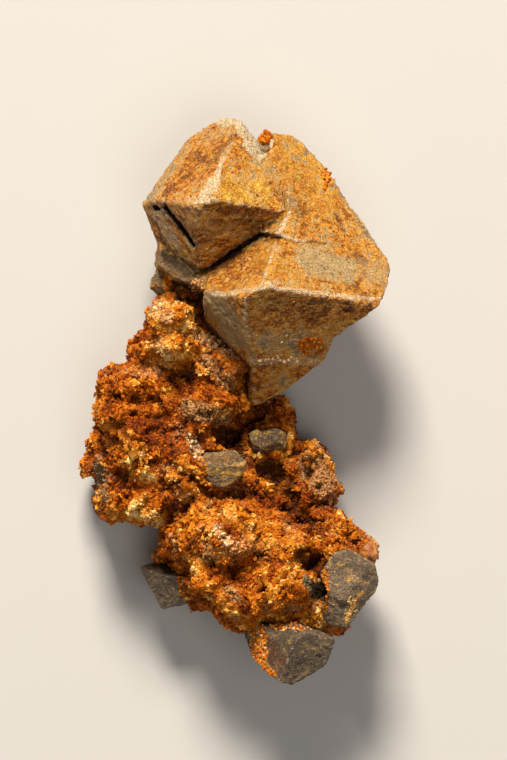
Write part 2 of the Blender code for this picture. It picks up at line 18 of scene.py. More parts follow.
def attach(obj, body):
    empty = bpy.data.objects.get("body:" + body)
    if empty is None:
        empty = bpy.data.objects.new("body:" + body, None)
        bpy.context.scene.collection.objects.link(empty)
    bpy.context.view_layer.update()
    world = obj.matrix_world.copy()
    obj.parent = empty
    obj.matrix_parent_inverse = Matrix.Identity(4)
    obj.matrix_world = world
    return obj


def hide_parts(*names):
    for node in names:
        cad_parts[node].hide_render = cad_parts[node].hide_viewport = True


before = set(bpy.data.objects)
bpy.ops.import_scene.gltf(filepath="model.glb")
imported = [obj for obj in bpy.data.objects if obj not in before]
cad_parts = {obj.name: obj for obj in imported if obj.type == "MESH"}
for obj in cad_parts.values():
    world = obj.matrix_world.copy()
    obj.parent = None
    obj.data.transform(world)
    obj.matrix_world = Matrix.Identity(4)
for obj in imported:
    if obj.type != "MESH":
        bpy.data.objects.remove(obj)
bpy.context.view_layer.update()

MM = 0.001

# Camera and stage; the floor's side is in metres
VIEW_CENTRE = (1.455, 1.69, 9.0)
VIEW_HEIGHT = 60.8
LENS = 600.0
SENSOR = 36.0
FLOOR_SIDE = 6.0
FLOOR_COLOUR = (0.5, 0.487, 0.47, 1.0)
SKY_COLOUR = (1.0, 0.97, 0.93, 1.0)
SKY_STRENGTH = 0.12
# Softboxes: direction from the specimen, distance, side, power, colour
LIGHTS = {
    "key": ((-0.1, 0.74, 0.66), 800, 225, 13.4, (1.0, 0.92, 0.8)),
    "fill": ((0.2, -0.3, 0.93), 700, 430, 1.55, (1.0, 0.96, 0.92)),
}

# Repeatable noise; each use of it has a number of its own, which is added to the seed
SEED = 7
CELL_FACTORS = (73856093, 19349663, 83492791)
SEED_FACTOR = 2654435
MIXING = ((15, 1274126177), (13, 1103515245))
LOW_32_BITS = 0xFFFFFFFF
LOW_24_BITS = 0xFFFFFF
LAYER_FADE = 0.55

# The matrix's base
CRUST_VOXEL = 0.19
GAP_REACH = 0.75
GAP_REST = 0.35
GAP_PUSH = 0.34
REST_BAND = 0.12
SWELL_HEIGHT = 0.3
SWELL_SIZE = 2.6
CLUSTER_HEIGHT = 0.6
CLUSTER_SIZE = 1.15
KNOT_HEIGHT = 0.28
KNOT_SIZE = 0.6
KNOT_LEVEL = 0.42
PORE_DEPTH = 0.72
PORE_SIZE = 1.0
DARK_DEPTH = 0.4
EVEN_SHARE = 0.65
# How much each tint lightens or darkens the matrix
TINT_TONES = {"rust": -0.13, "orange": 0.11, "yellow": 0.25, "cream": 0.24, "grey": -0.1}

# The grains on the matrix; coarse patches add the second number of a pair
GRAIN_SPACING = 0.2
GRAIN_CHUNK = 9500
SMALLEST_GRAIN = (0.07, 0.035)
GRAIN_RANGE = (0.15, 0.13)
GRAIN_POWER = 3.5
SOOTY_SHARE = 0.11
SOOTY_DARK = 0.75
ROUND_SHARE = 0.18
POINTED_SHARE = 0.55

# The crystals
MAIN_VOXEL = 0.142
SMALL_VOXEL = 0.11
MAIN_STAIN = 0.54
SMALL_ROUGH = 0.6
WAVE_HEIGHT = 0.07
WAVE_SIZE = 1.9
TERRACE_HEIGHT = 0.07
GRIT_HEIGHT = 0.022
GRIT_SIZE = 0.34
PIT_DEPTH = 0.13
PIT_SIZE = 0.6
CHIP_DEPTH = 0.14
WEAR_SHARE = 0.7
DARKEST = 0.93
ABOVE_ALL = 40.0
# How thick the stain is on each small crystal
SMALL_STAINS = {
    "stolzite_left": 0.08,
    "stolzite_foot": 0.07,
    "stolzite_right": 0.15,
    "stolzite_centre": 0.17,
    "stolzite_cavity": 0.13,
}

# The amber grain and its flats
AMBER_PLACE = (10.7, -12.2, 9.7)
AMBER_RADII = (0.76, 0.95, 0.9)
AMBER_FLATS = ((0.5, 0.2, 0.84), (-0.6, 0.1, 0.8), (0.1, 0.75, 0.65), (0.2, -0.8, 0.55), (0.9, -0.2, 0.3))
AMBER_FLAT_REACH = 0.86
AMBER_LUMPS = 0.15

# Colours of the matrix; in a run each colour has its place from 0 to 1
CRUST_RUN = (
    (0.0, (0.022, 0.003, 0.0004)),
    (0.2, (0.11, 0.016, 0.0008)),
    (0.4, (0.28, 0.053, 0.0016)),
    (0.58, (0.44, 0.108, 0.003)),
    (0.74, (0.56, 0.18, 0.008)),
    (0.88, (0.68, 0.31, 0.032)),
    (1.0, (0.8, 0.53, 0.19)),
)
CRUST_CHALK = ((0.05, (0.38, 0.17, 0.055)), (0.5, (0.64, 0.39, 0.17)), (0.95, (0.88, 0.69, 0.4)))
CRUST_DUN = ((0.05, (0.13, 0.045, 0.01)), (0.5, (0.33, 0.145, 0.045)), (0.95, (0.6, 0.36, 0.15)))
CRUST_MOSS = ((0.1, (0.07, 0.055, 0.03)), (0.8, (0.28, 0.2, 0.1)))
# Painted shade for crevices, pits and hollows, also the colour of the sooty grains
CRUST_SOOT_AND_SHADE = (0.03, 0.009, 0.002, 1.0)

# Colours of the crystals: the bare stone, dull and light, and the stain that covers it
STAINED_STONE = ((0.0, (0.34, 0.23, 0.12)), (0.22, (0.64, 0.43, 0.21)))
# The grey stone of the small crystals is dark partly of itself and partly as painted shadow under the
# matrix.
SHADED_GREY_STONE = ((0.0, (0.092, 0.066, 0.043)), (0.22, (0.22, 0.16, 0.105)))
STAIN_RUN = (
    (0.36, (0.72, 0.38, 0.065)),
    (0.5, (0.84, 0.35, 0.02)),
    (0.64, (0.68, 0.22, 0.008)),
    (0.82, (0.37, 0.095, 0.005)),
    (1.0, (0.16, 0.04, 0.003)),
)
GOLD = ((0.2, (0.52, 0.16, 0.006)), (0.8, (0.95, 0.58, 0.07)))
CHALK = ((0.1, (0.58, 0.4, 0.22)), (0.8, (0.95, 0.8, 0.54)))
BLOOM = ((0.15, (0.44, 0.29, 0.12)), (0.8, (0.66, 0.5, 0.25)))
SPECKS = ((0.34, (0.18, 0.1, 0.055)), (0.45, (0.9, 0.87, 0.84)), (0.55, (1.0, 1.0, 1.0)))
RUST = (0.13, 0.032, 0.005, 1.0)
VEIN = (0.12, 0.03, 0.004, 1.0)
# Colour of the painted glints
PAINTED_GLINT = (0.95, 0.68, 0.33, 1.0)
# Colour of the painted shade
SHADE = (0.016, 0.007, 0.003, 1.0)
AMBER = ((0.1, (0.36, 0.095, 0.01)), (0.9, (0.66, 0.27, 0.055)))

# Tints of the matrix: start x, y, end x, y, reach, channel, amount. The dark channel deepens pits, hollows
# and slits and paints shade into them.
CRUST_TINTS = {
    "knob crown": (-6.35, 7.32, -5.55, 6.68, 0.72, "pale", 0.85),
    "knob": (-5.71, 7.16, -5.55, 4.12, 2.0, "even", 1.0),
    # Painted light: the knob's glow tints and its cheek tints lighten the knob, the cheek where the big
    # crystal's shadow falls.
    "knob glow": (-6.03, 7.48, -5.07, 4.12, 1.76, "yellow", 0.42),
    "knob stain": (-6.03, 7.48, -5.07, 4.12, 1.76, "orange", 0.6),
    "knob rim": (-6.35, 7.8, -4.43, 7.8, 0.48, "cream", 0.7),
    "knob cheek": (-3.94, 7.0, -3.71, 5.72, 0.72, "orange", 1.4),
    "knob cheek glow": (-3.94, 7.0, -3.71, 5.72, 0.72, "yellow", 0.2),
    "knob lower grains": (-6.03, 4.52, -5.39, 3.64, 0.88, "pale", 0.55),
    "knob seam": (-2.83, 5.24, 0.05, 3.96, 0.72, "tan", 1.1),
    "seam grains": (-2.5, 5.08, -0.27, 3.96, 0.48, "pale", 0.5),
    "tan strip": (-2.42, 3.32, -0.58, 1.4, 0.72, "tan", 0.7),
    "pale middle": (-3.79, -0.52, -1.06, -1.32, 0.88, "tan", 0.75),
    "pale strip": (-3.71, -2.92, -2.98, -4.36, 0.48, "pale", 0.8),
    "left grains": (-6.83, -5.8, -5.39, -5.32, 0.56, "pale", 0.4),
    "lower left rim": (-8.19, -8.76, -6.19, -9.8, 0.64, "cream", 0.6),
    "lower left rim stain": (-7.79, -8.52, -6.03, -9.32, 0.72, "yellow", 1.2),
    "left heel grains": (-8.26, -5.96, -6.83, -6.28, 0.72, "cream", 0.7),
    "bright shelf": (-2.42, -9.8, 0.22, -8.68, 1.04, "cream", 0.4),
    "chest glow": (-2.42, -10.12, 2.77, -10.28, 1.44, "yellow", 0.22),
    "bright shelf right": (2.14, -8.84, 4.05, -9.64, 0.64, "cream", 0.15),
    "grey grain": (-1.39, -10.44, -0.75, -11.08, 0.48, "pale", 0.9),
    "grey strip": (-2.35, -11.48, -1.86, -12.68, 0.48, "tan", 0.8),
    "right lump": (5.81, -5.16, 7.17, -7.08, 1.28, "tan", 0.75),
    "right lump shade": (5.81, -5.8, 6.93, -7.08, 1.04, "dark", 0.42),
    "dun foot": (2.62, -16.36, 4.85, -16.84, 0.88, "tan", 0.35),
    "dun chest": (-2.42, -11.72, -1.06, -12.84, 0.96, "tan", 0.4),
    "right lump top": (6.61, -3.24, 7.25, -4.04, 0.56, "pale", 0.5),
    "right cream": (7.25, -9.8, 8.06, -10.6, 0.72, "cream", 0.7),
    "right arm": (8.78, -9.48, 9.34, -10.44, 0.72, "orange", 0.7),
    "bottom rim": (-1.06, -15.88, 0.46, -17.96, 0.48, "cream", 0.6),
    "low ridge": (-0.58, -15.08, 0.05, -15.56, 0.48, "tan", 0.8),
    "left mass": (-9.38, 2.36, -7.15, -0.68, 1.2, "orange", 0.25),
    "side crystal": (-6.67, 9.8, -6.27, 8.84, 0.56, "grey", 1.2),
    "left mass rust": (-9.87, 2.36, -9.38, 0.92, 1.6, "rust", 1.0),
    "left mass glow": (-9.06, -2.6, -7.31, -6.12, 0.88, "yellow", 0.5),
    "left mass shade": (-8.58, 0.76, -6.03, -2.76, 2.24, "rust", 1.0),
    "middle rust": (1.18, -8.28, 4.38, -10.28, 1.76, "rust", 0.8),
    "right lump rust": (5.57, -5.48, 6.93, -7.48, 1.6, "rust", 0.9),
    "dark middle": (-0.27, -3.88, 0.38, -4.2, 0.64, "dark", 0.8),
    "left mass low": (-9.22, -2.28, -7.15, -5.48, 1.36, "orange", 1.0),
    "orange centre": (2.14, -10.84, 4.38, -14.68, 1.52, "orange", 0.5),
    "orange flank": (-4.27, -10.28, -2.42, -14.28, 0.72, "orange", 0.65),
    "right arm top": (2.77, 0.76, 4.54, -0.04, 0.8, "orange", 0.25),
    "foot glow": (1.82, -15.72, 5.57, -16.84, 1.04, "orange", 0.45),
    "left heel": (-10.98, -5.48, -10.34, -7.88, 0.64, "grey", 0.5),
    "hollow": (-1.62, -2.28, 0.53, -3.24, 0.8, "dark", 0.95),
    "hollow behind the pair": (-0.58, -1.48, 2.14, -1.8, 0.4, "dark", 0.8),
    "right hollow": (1.82, -4.84, 4.05, -6.6, 1.04, "dark", 1.25),
    "left slit": (-4.27, -5.48, -2.19, -7.24, 0.48, "dark", 0.8),
    "knob shadow": (-6.19, 2.52, -3.79, 1.88, 0.48, "dark", 0.7),
    "knob low glow": (-4.75, 4.92, -3.94, 3.96, 0.8, "yellow", 0.3),
    "left mass dimple": (-6.67, -1.32, -6.03, -1.8, 0.48, "dark", 0.7),
    "low left dimple": (-8.9, -2.44, -8.42, -2.92, 0.32, "dark", 0.8),
    "pit under the arm": (4.38, -8.52, 6.61, -10.44, 0.64, "dark", 0.85),
    "pit by the right crystal": (5.42, -12.36, 6.77, -13.64, 0.8, "dark", 1.25),
    "grey flank": (5.81, -14.44, 6.61, -15.4, 0.64, "grey", 0.75),
    "high left pits": (-10.27, 0.12, -9.95, -1.56, 0.2, "dark", 0.8),
    "left shoulder pit": (-9.46, 0.36, -9.3, 0.2, 0.2, "dark", 0.9),
    "left pit": (-8.74, -2.76, -8.42, -3.0, 0.28, "dark", 0.9),
    "middle pits": (-6.19, 0.36, -5.95, -1.48, 0.24, "dark", 0.8),
    "knob gap": (-2.83, 8.12, -2.5, 5.72, 0.48, "dark", 0.9),
    "small pit": (-2.19, 1.72, -1.95, 1.48, 0.24, "dark", 0.9),
    "pit by the crystal": (0.22, 2.2, 0.53, 1.72, 0.32, "dark", 0.8),
}

# Tints of the crystals, in the same form. Their dark channel is painted shade and shadow: in the groove,
# notch and cracks, on the plate and side crystal beside the big crystal, on lower faces, and on the small
# crystals under the matrix.
CRYSTAL_TINTS = {
    "yellow patch": (-0.42, 16.76, 1.82, 16.6, 1.2, "yellow", 1.1),
    "yellow patch threads": (0.05, 17.88, 2.14, 15.8, 0.4, "bare", 0.5),
    "groove": (-5.87, 15.72, -3.23, 12.44, 0.26, "dark", 0.3),
    "groove stain": (-5.55, 15.64, -2.9, 12.6, 0.4, "rust", 0.5),
    "notch": (-6.83, 15.56, -5.95, 15.4, 0.24, "dark", 0.4),
    "plate crack": (-6.11, 11.88, -4.59, 11.08, 0.24, "dark", 0.8),
    "plate crack, right": (-4.43, 11.0, -2.83, 10.6, 0.2, "dark", 0.6),
    "even join": (3.9, 16.92, 4.13, 15.0, 0.56, "even", 1.0),
    "cut edge": (-0.99, 19.32, -1.54, 17.88, 0.26, "pale", 0.6),
    "cut edge, low": (-1.71, 17.4, -2.58, 16.12, 0.56, "pale", 0.8),
    "under the cut edge": (-3.79, 16.12, -1.71, 15.96, 0.4, "pale", 0.5),
    "chisel facet": (0.7, 21.88, 1.82, 19.96, 0.72, "pale", 1.7),
    "top rim": (-1.22, 22.44, 0.46, 22.6, 0.44, "pale", 1.5),
    "rust streak": (-2.19, 18.84, 0.22, 21.56, 0.24, "rust", 0.6),
    "rust streak low": (-3.94, 17.88, -2.5, 19.32, 0.24, "rust", 0.4),
    "grey bevel": (-6.59, 16.12, -3.94, 20.36, 0.4, "grey", 0.8),
    "pale slab": (-6.35, 15.16, -4.75, 12.44, 0.56, "pale", 0.55),
    "lower face bloom": (-2.19, 14.52, 0.38, 13.24, 0.72, "grey", 0.5),
    "orange lump": (2.06, 21.08, 2.62, 21.32, 0.32, "orange", 1.0),
    "bright thin edge": (2.62, 20.28, 2.94, 20.84, 0.2, "pale", 0.9),
    "greyish patch": (3.26, 18.68, 4.38, 17.08, 0.64, "grey", 0.5),
    "red pits": (3.42, 16.76, 5.17, 15.16, 0.72, "rust", 0.5),
    "right rim": (8.54, 16.44, 11.9, 11.48, 0.36, "grey", 0.75),
    "right rim top": (6.61, 19.32, 8.54, 16.44, 0.32, "grey", 0.4),
    "bare patch": (6.13, 11.16, 8.7, 10.52, 1.28, "bare", 1.25),
    "bare patch top": (5.5, 12.12, 6.61, 11.96, 0.56, "bare", 0.7),
    "stain band": (8.21, 14.36, 10.14, 11.16, 0.48, "orange", 0.9),
    "stain band root": (8.06, 14.92, 8.7, 13.56, 0.28, "rust", 0.6),
    "stain by the tip": (8.78, 9.56, 10.94, 9.24, 0.48, "orange", 0.35),
    "small crest": (3.42, 13.24, 4.29, 15.0, 0.18, "pale", 0.7),
    "layer edge": (3.5, 13.24, 5.5, 12.68, 0.18, "pale", 0.6),
    "front edge": (-2.27, 8.44, 2.14, 8.92, 0.24, "pale", 0.5),
    "front edge right": (2.29, 9.08, 11.58, 8.12, 0.2, "pale", 0.6),
    "front corner": (1.58, 8.92, 3.42, 9.48, 0.32, "pale", 0.5),
    "bare lower face": (2.62, 4.92, 6.61, 4.44, 1.2, "grey", 0.95),
    "bare lower left": (-0.75, 5.72, 0.85, 3.96, 0.4, "grey", 0.6),
    "ledge": (1.18, 3.16, 6.93, 3.16, 0.32, "pale", 0.5),
    "plate": (-5.39, 11.32, -3.46, 9.4, 1.04, "dark", 0.66),
    "plate bare": (-5.39, 11.32, -3.46, 9.4, 1.04, "grey", 1.0),
    "side crystal": (-6.35, 9.72, -6.35, 8.76, 0.72, "dark", 0.5),
    "plate stain": (-5.87, 10.68, -5.55, 8.92, 0.32, "orange", 0.8),
    "foot face": (2.77, 2.36, 5.17, 1.32, 0.8, "grey", 0.5),
    "bottom left face": (2.14, -18.76, 3.42, -21.0, 0.88, "rust", 0.55),
    "bottom ridge": (5.33, -18.04, 3.5, -21.96, 0.2, "pale", 0.1),
    "lower left face": (-1.54, 7.8, 0.05, 5.24, 1.2, "bare", 0.9),
    "lower left face rust": (-1.06, 7.64, 0.05, 5.72, 0.8, "rust", 0.55),
    "upper left stain": (-5.07, 17.24, -1.71, 20.28, 1.36, "orange", 0.5),
    "lower face rust": (0.38, 15.0, 1.66, 14.36, 0.8, "rust", 0.5),
    "lower face shade": (-1.06, 14.36, 1.18, 14.04, 1.2, "dark", 0.26),
    "front lower rust": (2.94, 7.72, 6.61, 7.24, 1.12, "rust", 0.42),
    "rust by the crack": (0.05, 11.08, 0.85, 11.48, 0.8, "rust", 0.35),
    "upper right stain": (4.54, 18.04, 6.13, 16.12, 1.28, "orange", 0.45),
    "red spot": (8.86, 7.56, 9.1, 7.4, 0.56, "rust", 0.7),
    "thread": (1.9, 8.84, 3.26, 12.6, 0.14, "pale", 0.5),
    "front edge stain": (-0.75, 10.68, 1.34, 11.48, 1.28, "orange", 0.45),
    "right end": (9.34, 10.68, 11.58, 10.36, 1.04, "bare", 0.55),
    "upper right gold": (4.85, 19.96, 6.93, 16.44, 1.92, "yellow", 0.35),
    "front edge gold": (2.14, 11.16, 5.17, 9.88, 1.04, "yellow", 0.3),
    "upper left top": (-2.19, 21.24, 0.05, 22.2, 0.72, "bare", 0.5),
    "left lower face": (-3.15, 15.0, -1.86, 13.72, 0.96, "bare", 0.4),
    "bottom left crust": (1.5, -18.44, 2.14, -20.68, 0.48, "orange", 1.5),
    "bottom left crust low": (2.14, -20.68, 3.1, -21.96, 0.32, "orange", 1.2),
    "left crystal shade": (-6.83, -13.48, -5.07, -15.08, 1.2, "dark", 0.15),
    "foot shade": (2.94, -19.88, 6.38, -20.28, 2.0, "dark", 0.22),
    "lower ridge": (0.94, 8.12, 0.61, 6.36, 0.24, "pale", 0.35),
    "lower ridge, bottom": (0.61, 6.36, 1.66, 2.84, 0.24, "grey", 0.8),
    "middle crystal": (-2.19, -5.32, 0.05, -5.16, 1.44, "yellow", 0.34),
    "middle crystal shade": (-2.19, -5.32, 0.05, -5.16, 1.44, "dark", 0.22),
    "middle crystal back": (-0.51, -3.72, 0.7, -4.04, 0.4, "dark", 0.5),
    "middle crystal top": (-2.35, -4.52, 0.05, -4.52, 0.48, "rust", 0.5),
    "middle crystal foot": (-1.86, -6.6, -0.27, -6.6, 0.56, "bare", 0.3),
    "right crystal top": (8.21, -12.68, 10.14, -13.16, 0.8, "dark", 0.28),
    "pair in the hollow": (1.5, -3.08, 3.58, -3.08, 1.12, "dark", 0.26),
    "pair in the hollow, glow": (1.5, -3.08, 3.58, -3.08, 1.12, "yellow", 0.32),
    "side crystal bare": (-6.35, 9.88, -6.43, 8.76, 0.72, "grey", 1.3),
    "yellow line": (9.66, -15.88, 8.94, -17.32, 0.2, "yellow", 0.9),
    "yellow line top": (10.14, -15.24, 9.34, -16.04, 0.16, "yellow", 0.7),
}

# Small crusts and crumbs on the crystals: centre x, y, reach x, y, count, size, channel
CRUMBS = {
    "orange cluster": (6.05, 4.44, 1.12, 0.72, 110, 0.15, "orange"),
    "white specks": (4.05, 5.08, 0.64, 0.4, 12, 0.11, "cream"),
    "white specks, upper": (0.85, 11.16, 0.48, 0.4, 12, 0.08, "cream"),
    "white specks, thread": (4.85, 11.16, 0.24, 0.72, 12, 0.07, "cream"),
    "ledge crumbs": (4.21, 3.24, 3.2, 0.4, 44, 0.14, "pale"),
    "ledge grit": (4.21, 3.32, 3.36, 0.48, 120, 0.07, "pale"),
    "orange lump": (2.38, 21.16, 0.48, 0.4, 60, 0.2, "orange"),
    "right rim bumps": (7.65, 18.04, 0.88, 1.28, 40, 0.2, "orange"),
    "bottom left crust": (1.9, -19.88, 0.72, 1.76, 120, 0.14, "orange"),
    "pale bottom left crust": (1.82, -19.88, 0.72, 1.76, 60, 0.12, "tan"),
    "bottom left crust foot": (2.62, -21.8, 0.64, 0.56, 50, 0.14, "orange"),
    "yellow line": (9.26, -16.52, 0.56, 0.96, 70, 0.075, "cream"),
    "plate stain": (-5.39, 9.4, 0.32, 0.96, 50, 0.16, "orange"),
    "grit, upper left": (-2.42, 18.92, 3.2, 3.2, 240, 0.07, "orange"),
    "grit, upper right": (5.97, 14.92, 4.8, 5.6, 420, 0.07, "orange"),
    "grit, lower face": (5.17, 6.92, 5.6, 2.4, 160, 0.065, "tan"),
    "foot crust": (4.21, -18.04, 2.96, 0.4, 80, 0.12, "orange"),
    "foot crust, tan": (4.21, -18.04, 2.96, 0.32, 60, 0.11, "tan"),
    "crust by the right crystal": (7.17, -14.92, 0.32, 1.92, 90, 0.12, "orange"),
    "crust by the left crystal": (-4.19, -14.44, 0.4, 1.44, 70, 0.12, "orange"),
    "crust by the middle crystal": (-2.58, -5.48, 0.32, 1.04, 40, 0.11, "orange"),
    "plate crust": (-3.15, 9.24, 0.64, 0.64, 50, 0.11, "tan"),
    "bottom grit": (8.78, -14.28, 2.0, 2.8, 120, 0.045, "tan"),
}
# Tone and paleness of the crumbs of each channel
CRUMB_LOOKS = {"orange": (0.58, 0.0), "tan": (0.6, 0.5), "cream": (0.9, 0.7), "pale": (0.8, 0.9)}
CHANNELS = ("pale", "cream", "tan", "orange", "yellow", "rust", "grey", "bare", "dark", "even")


def places_of(mesh):
    """The mesh's vertices in millimetres."""
    flat = np.empty(len(mesh.vertices) * 3)
    mesh.vertices.foreach_get("co", flat)
    return flat.reshape(-1, 3) / MM


def normals_of(mesh):
    """The mesh's vertex normals."""
    flat = np.empty(len(mesh.vertices) * 3)
    mesh.vertex_normals.foreach_get("vector", flat)
    return flat.reshape(-1, 3)


def triangles_of(mesh):
    """The mesh's triangles as vertex numbers."""
    mesh.calc_loop_triangles()
    flat = np.empty(len(mesh.loop_triangles) * 3, dtype=np.int64)
    mesh.loop_triangles.foreach_get("vertices", flat)
    return flat.reshape(-1, 3)


def set_places(mesh, places):
    """Write the vertices, given in millimetres."""
    mesh.vertices.foreach_set("co", (places * MM).ravel())
    mesh.update()


def set_values(mesh, values):
    """Keep numbers for each vertex under names that the materials read."""
    for name, numbers in values.items():
        kept = mesh.attributes.new(name, "FLOAT", "POINT")
        kept.data.foreach_set("value", np.asarray(numbers, dtype=np.float32))


def lattice(cells, use):
    """A repeatable random value from 0 to 1 for every whole-numbered cell."""
    mixed = (SEED + use) * SEED_FACTOR
    for axis, factor in enumerate(CELL_FACTORS):
        mixed = mixed ^ cells[:, axis] * factor
    mixed = mixed & LOW_32_BITS
    for shift, factor in MIXING:
        mixed = ((mixed ^ (mixed >> shift)) * factor) & LOW_32_BITS
    mixed = mixed ^ (mixed >> 16)
    return (mixed & LOW_24_BITS) / LOW_24_BITS


def ripple(places, size, use):
    """Smooth noise from -1 to 1 whose bumps are about one size across."""
    scaled = places / size
    low = np.floor(scaled).astype(np.int64)
    part = scaled - low
    part = part * part * (3 - 2 * part)
    total = np.zeros(len(places))
    for corner in itertools.product((0, 1), repeat=3):
        weight = np.prod(np.where(np.array(corner) == 1, part, 1 - part), axis=1)
        total += weight * lattice(low + np.array(corner), use)
    return total * 2 - 1


def layered(places, size, use, layers=4):
    """Several sizes of ripple on top of each other."""
    total = np.zeros(len(places))
    strength = 1.0
    for layer in range(layers):
        total += strength * ripple(places, size / 2 ** layer, use + layer)
        strength *= LAYER_FADE
    return total


def knots(places, size, use):
    """Distance to the nearest scattered point in cell sizes, and that cell's own number."""
    scaled = places / size
    low = np.floor(scaled).astype(np.int64)
    nearest = np.full(len(places), 9.0)
    number = np.zeros(len(places))
    for step in itertools.product((-1, 0, 1), repeat=3):
        cell = low + np.array(step)
        point = cell + np.stack([lattice(cell, use + k) for k in (1, 2, 3)], axis=1)
        distance = np.linalg.norm(point - scaled, axis=1)
        closer = distance < nearest
        nearest = np.where(closer, distance, nearest)
        number = np.where(closer, lattice(cell, use + 4), number)
    return nearest, number


def rise(values, low, high):
    """0 below low, 1 above high and smooth in between."""
    part = np.clip((values - low) / (high - low), 0, 1)
    return part * part * (3 - 2 * part)


def joined(nodes, unit):
    """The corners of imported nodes, in a unit given in metres, and their faces."""
    verts = []
    faces = []
    for node in nodes:
        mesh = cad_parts[node].data
        start = len(verts)
        verts += [corner.co / unit for corner in mesh.vertices]
        faces += [[start + number for number in face.vertices] for face in mesh.polygons]
    return verts, faces


def linked(name, data):
    """A new object in the scene for a mesh, light or camera."""
    piece = bpy.data.objects.new(name, data)
    bpy.context.scene.collection.objects.link(piece)
    return piece


def copy_of(nodes, name):
    """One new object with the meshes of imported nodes."""
    verts, faces = joined(nodes, 1.0)
    mesh = bpy.data.meshes.new(name)
    mesh.from_pydata(verts, [], faces)
    return linked(name, mesh)


def apply_modifiers(piece):
    """Keep the result of the modifiers as the piece's own mesh."""
    graph = bpy.context.evaluated_depsgraph_get()
    graph.update()
    result = bpy.data.meshes.new_from_object(piece.evaluated_get(graph))
    old = piece.data
    piece.modifiers.clear()
    piece.data = result
    bpy.data.meshes.remove(old)


def refine(piece, voxel, rounds):
    """Give the piece an even fine skin, softened by some rounds of smoothing."""
    weld = piece.modifiers.new("weld", "WELD")
    weld.merge_threshold = 0.00001
    skin = piece.modifiers.new("skin", "REMESH")
    skin.mode = "VOXEL"
    skin.voxel_size = voxel * MM
    soft = piece.modifiers.new("soft", "SMOOTH")
    soft.factor = 0.5
    soft.iterations = rounds
    apply_modifiers(piece)


def tree_of(nodes):
    """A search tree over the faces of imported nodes, in millimetres."""
    return BVHTree.FromPolygons(*joined(nodes, MM))


def nearest_faces(tree, places):
    """For each place: the distance to the tree's surface and the normal of the face there."""
    distances = np.empty(len(places))
    normals = np.empty((len(places), 3))
    for number, place in enumerate(places):
        _, normal, _, distance = tree.find_nearest(Vector(place))
        distances[number] = distance
        normals[number] = normal
    return distances, normals


def buried(tree, place):
    """Whether a place is inside the closed solids of a tree."""
    direction = Vector((0.13, 0.07, 1.0)).normalized()
    start = Vector(place)
    inside = False
    for _ in range(40):
        found, _, _, _ = tree.ray_cast(start, direction)
        if found is None:
            break
        inside = not inside
        start = found + direction * 0.0005
    return inside


def bulge(mesh, places, normals, rounds):
    """How far each vertex stands proud of its softened surroundings, in millimetres."""
    ends = np.empty(len(mesh.edges) * 2, dtype=np.int64)
    mesh.edges.foreach_get("vertices", ends)
    first, second = ends.reshape(-1, 2).T
    count = np.bincount(ends, minlength=len(places))[:, None]
    soft = places.copy()
    for _ in range(rounds):
        total = np.zeros_like(soft)
        for axis in range(3):
            total[:, axis] += np.bincount(first, weights=soft[second, axis], minlength=len(places))
            total[:, axis] += np.bincount(second, weights=soft[first, axis], minlength=len(places))
        soft = 0.5 * soft + 0.5 * total / count
    return ((places - soft) * normals).sum(axis=1)


def tint_amounts(places, table, facing):
    """How much of each channel the named tints give at each place."""
    amounts = {channel: np.zeros(len(places)) for channel in CHANNELS}
    wobble = 0.5 * ripple(places, 0.7, 40) + 0.3 * ripple(places, 0.25, 41)
    for x0, y0, x1, y1, reach, channel, amount in table.values():
        start = np.array((x0, y0))
        along = np.array((x1, y1)) - start
        part = np.clip((places[:, :2] - start) @ along / max(along @ along, 1e-9), 0, 1)
        away = np.linalg.norm(places[:, :2] - start - part[:, None] * along, axis=1)
        here = amount * rise(1.25 - away / reach + 0.55 * wobble, 0.0, 0.75) * facing
        amounts[channel] = np.maximum(amounts[channel], here)
    return amounts


def openness(tree, places, normals, reach):
    """The share of directions that leave each place without hitting the tree nearby."""
    golden = math.pi * (3 - math.sqrt(5))
    count = 9
    free = np.zeros(len(places))
    for number in range(count):
        height = 0.2 + 0.75 * number / (count - 1)
        spread = math.sqrt(1 - height * height)
        local = (spread * math.cos(number * golden), spread * math.sin(number * golden), height)
        free += [ray_free(tree, place, normal, local, reach) for place, normal in zip(places, normals)]
    return free / count


def ray_free(tree, place, normal, local, reach):
    """1 if a ray in a direction given around the normal gets away, else 0."""
    up = Vector(normal)
    side = up.orthogonal().normalized()
    other = up.cross(side)
    direction = side * local[0] + other * local[1] + up * local[2]
    start = Vector(place) + up * 0.05
    return 1.0 if tree.ray_cast(start, direction, reach)[0] is None else 0.0


# The matrix


def warped(places, size, reach, use):
    """The places shifted about by smooth noise, so that cells laid over them look irregular."""
    shift = np.stack([ripple(places, size, use + axis) for axis in range(3)], axis=1)
    return places + reach * shift


def crust_relief(places):
    """Height of the crust's lumps, knots and pores, in millimetres, and where the pores are."""
    large, _ = clusters(places)
    small, _ = knots(warped(places, KNOT_SIZE, 0.25, 8), KNOT_SIZE, 20)
    pores = rise(layered(places, PORE_SIZE, 30, 4), 0.3, 0.62)
    relief = SWELL_HEIGHT * layered(places, SWELL_SIZE, 0, 3)
    relief = relief + CLUSTER_HEIGHT * (KNOT_LEVEL - large) + KNOT_HEIGHT * (KNOT_LEVEL - small)
    return relief - PORE_DEPTH * pores, pores


def clusters(places):
    """Distance to the middle of the nearest cluster of grains, and that cluster's own number."""
    return knots(warped(places, 1.0, 0.45, 5), CLUSTER_SIZE, 10)


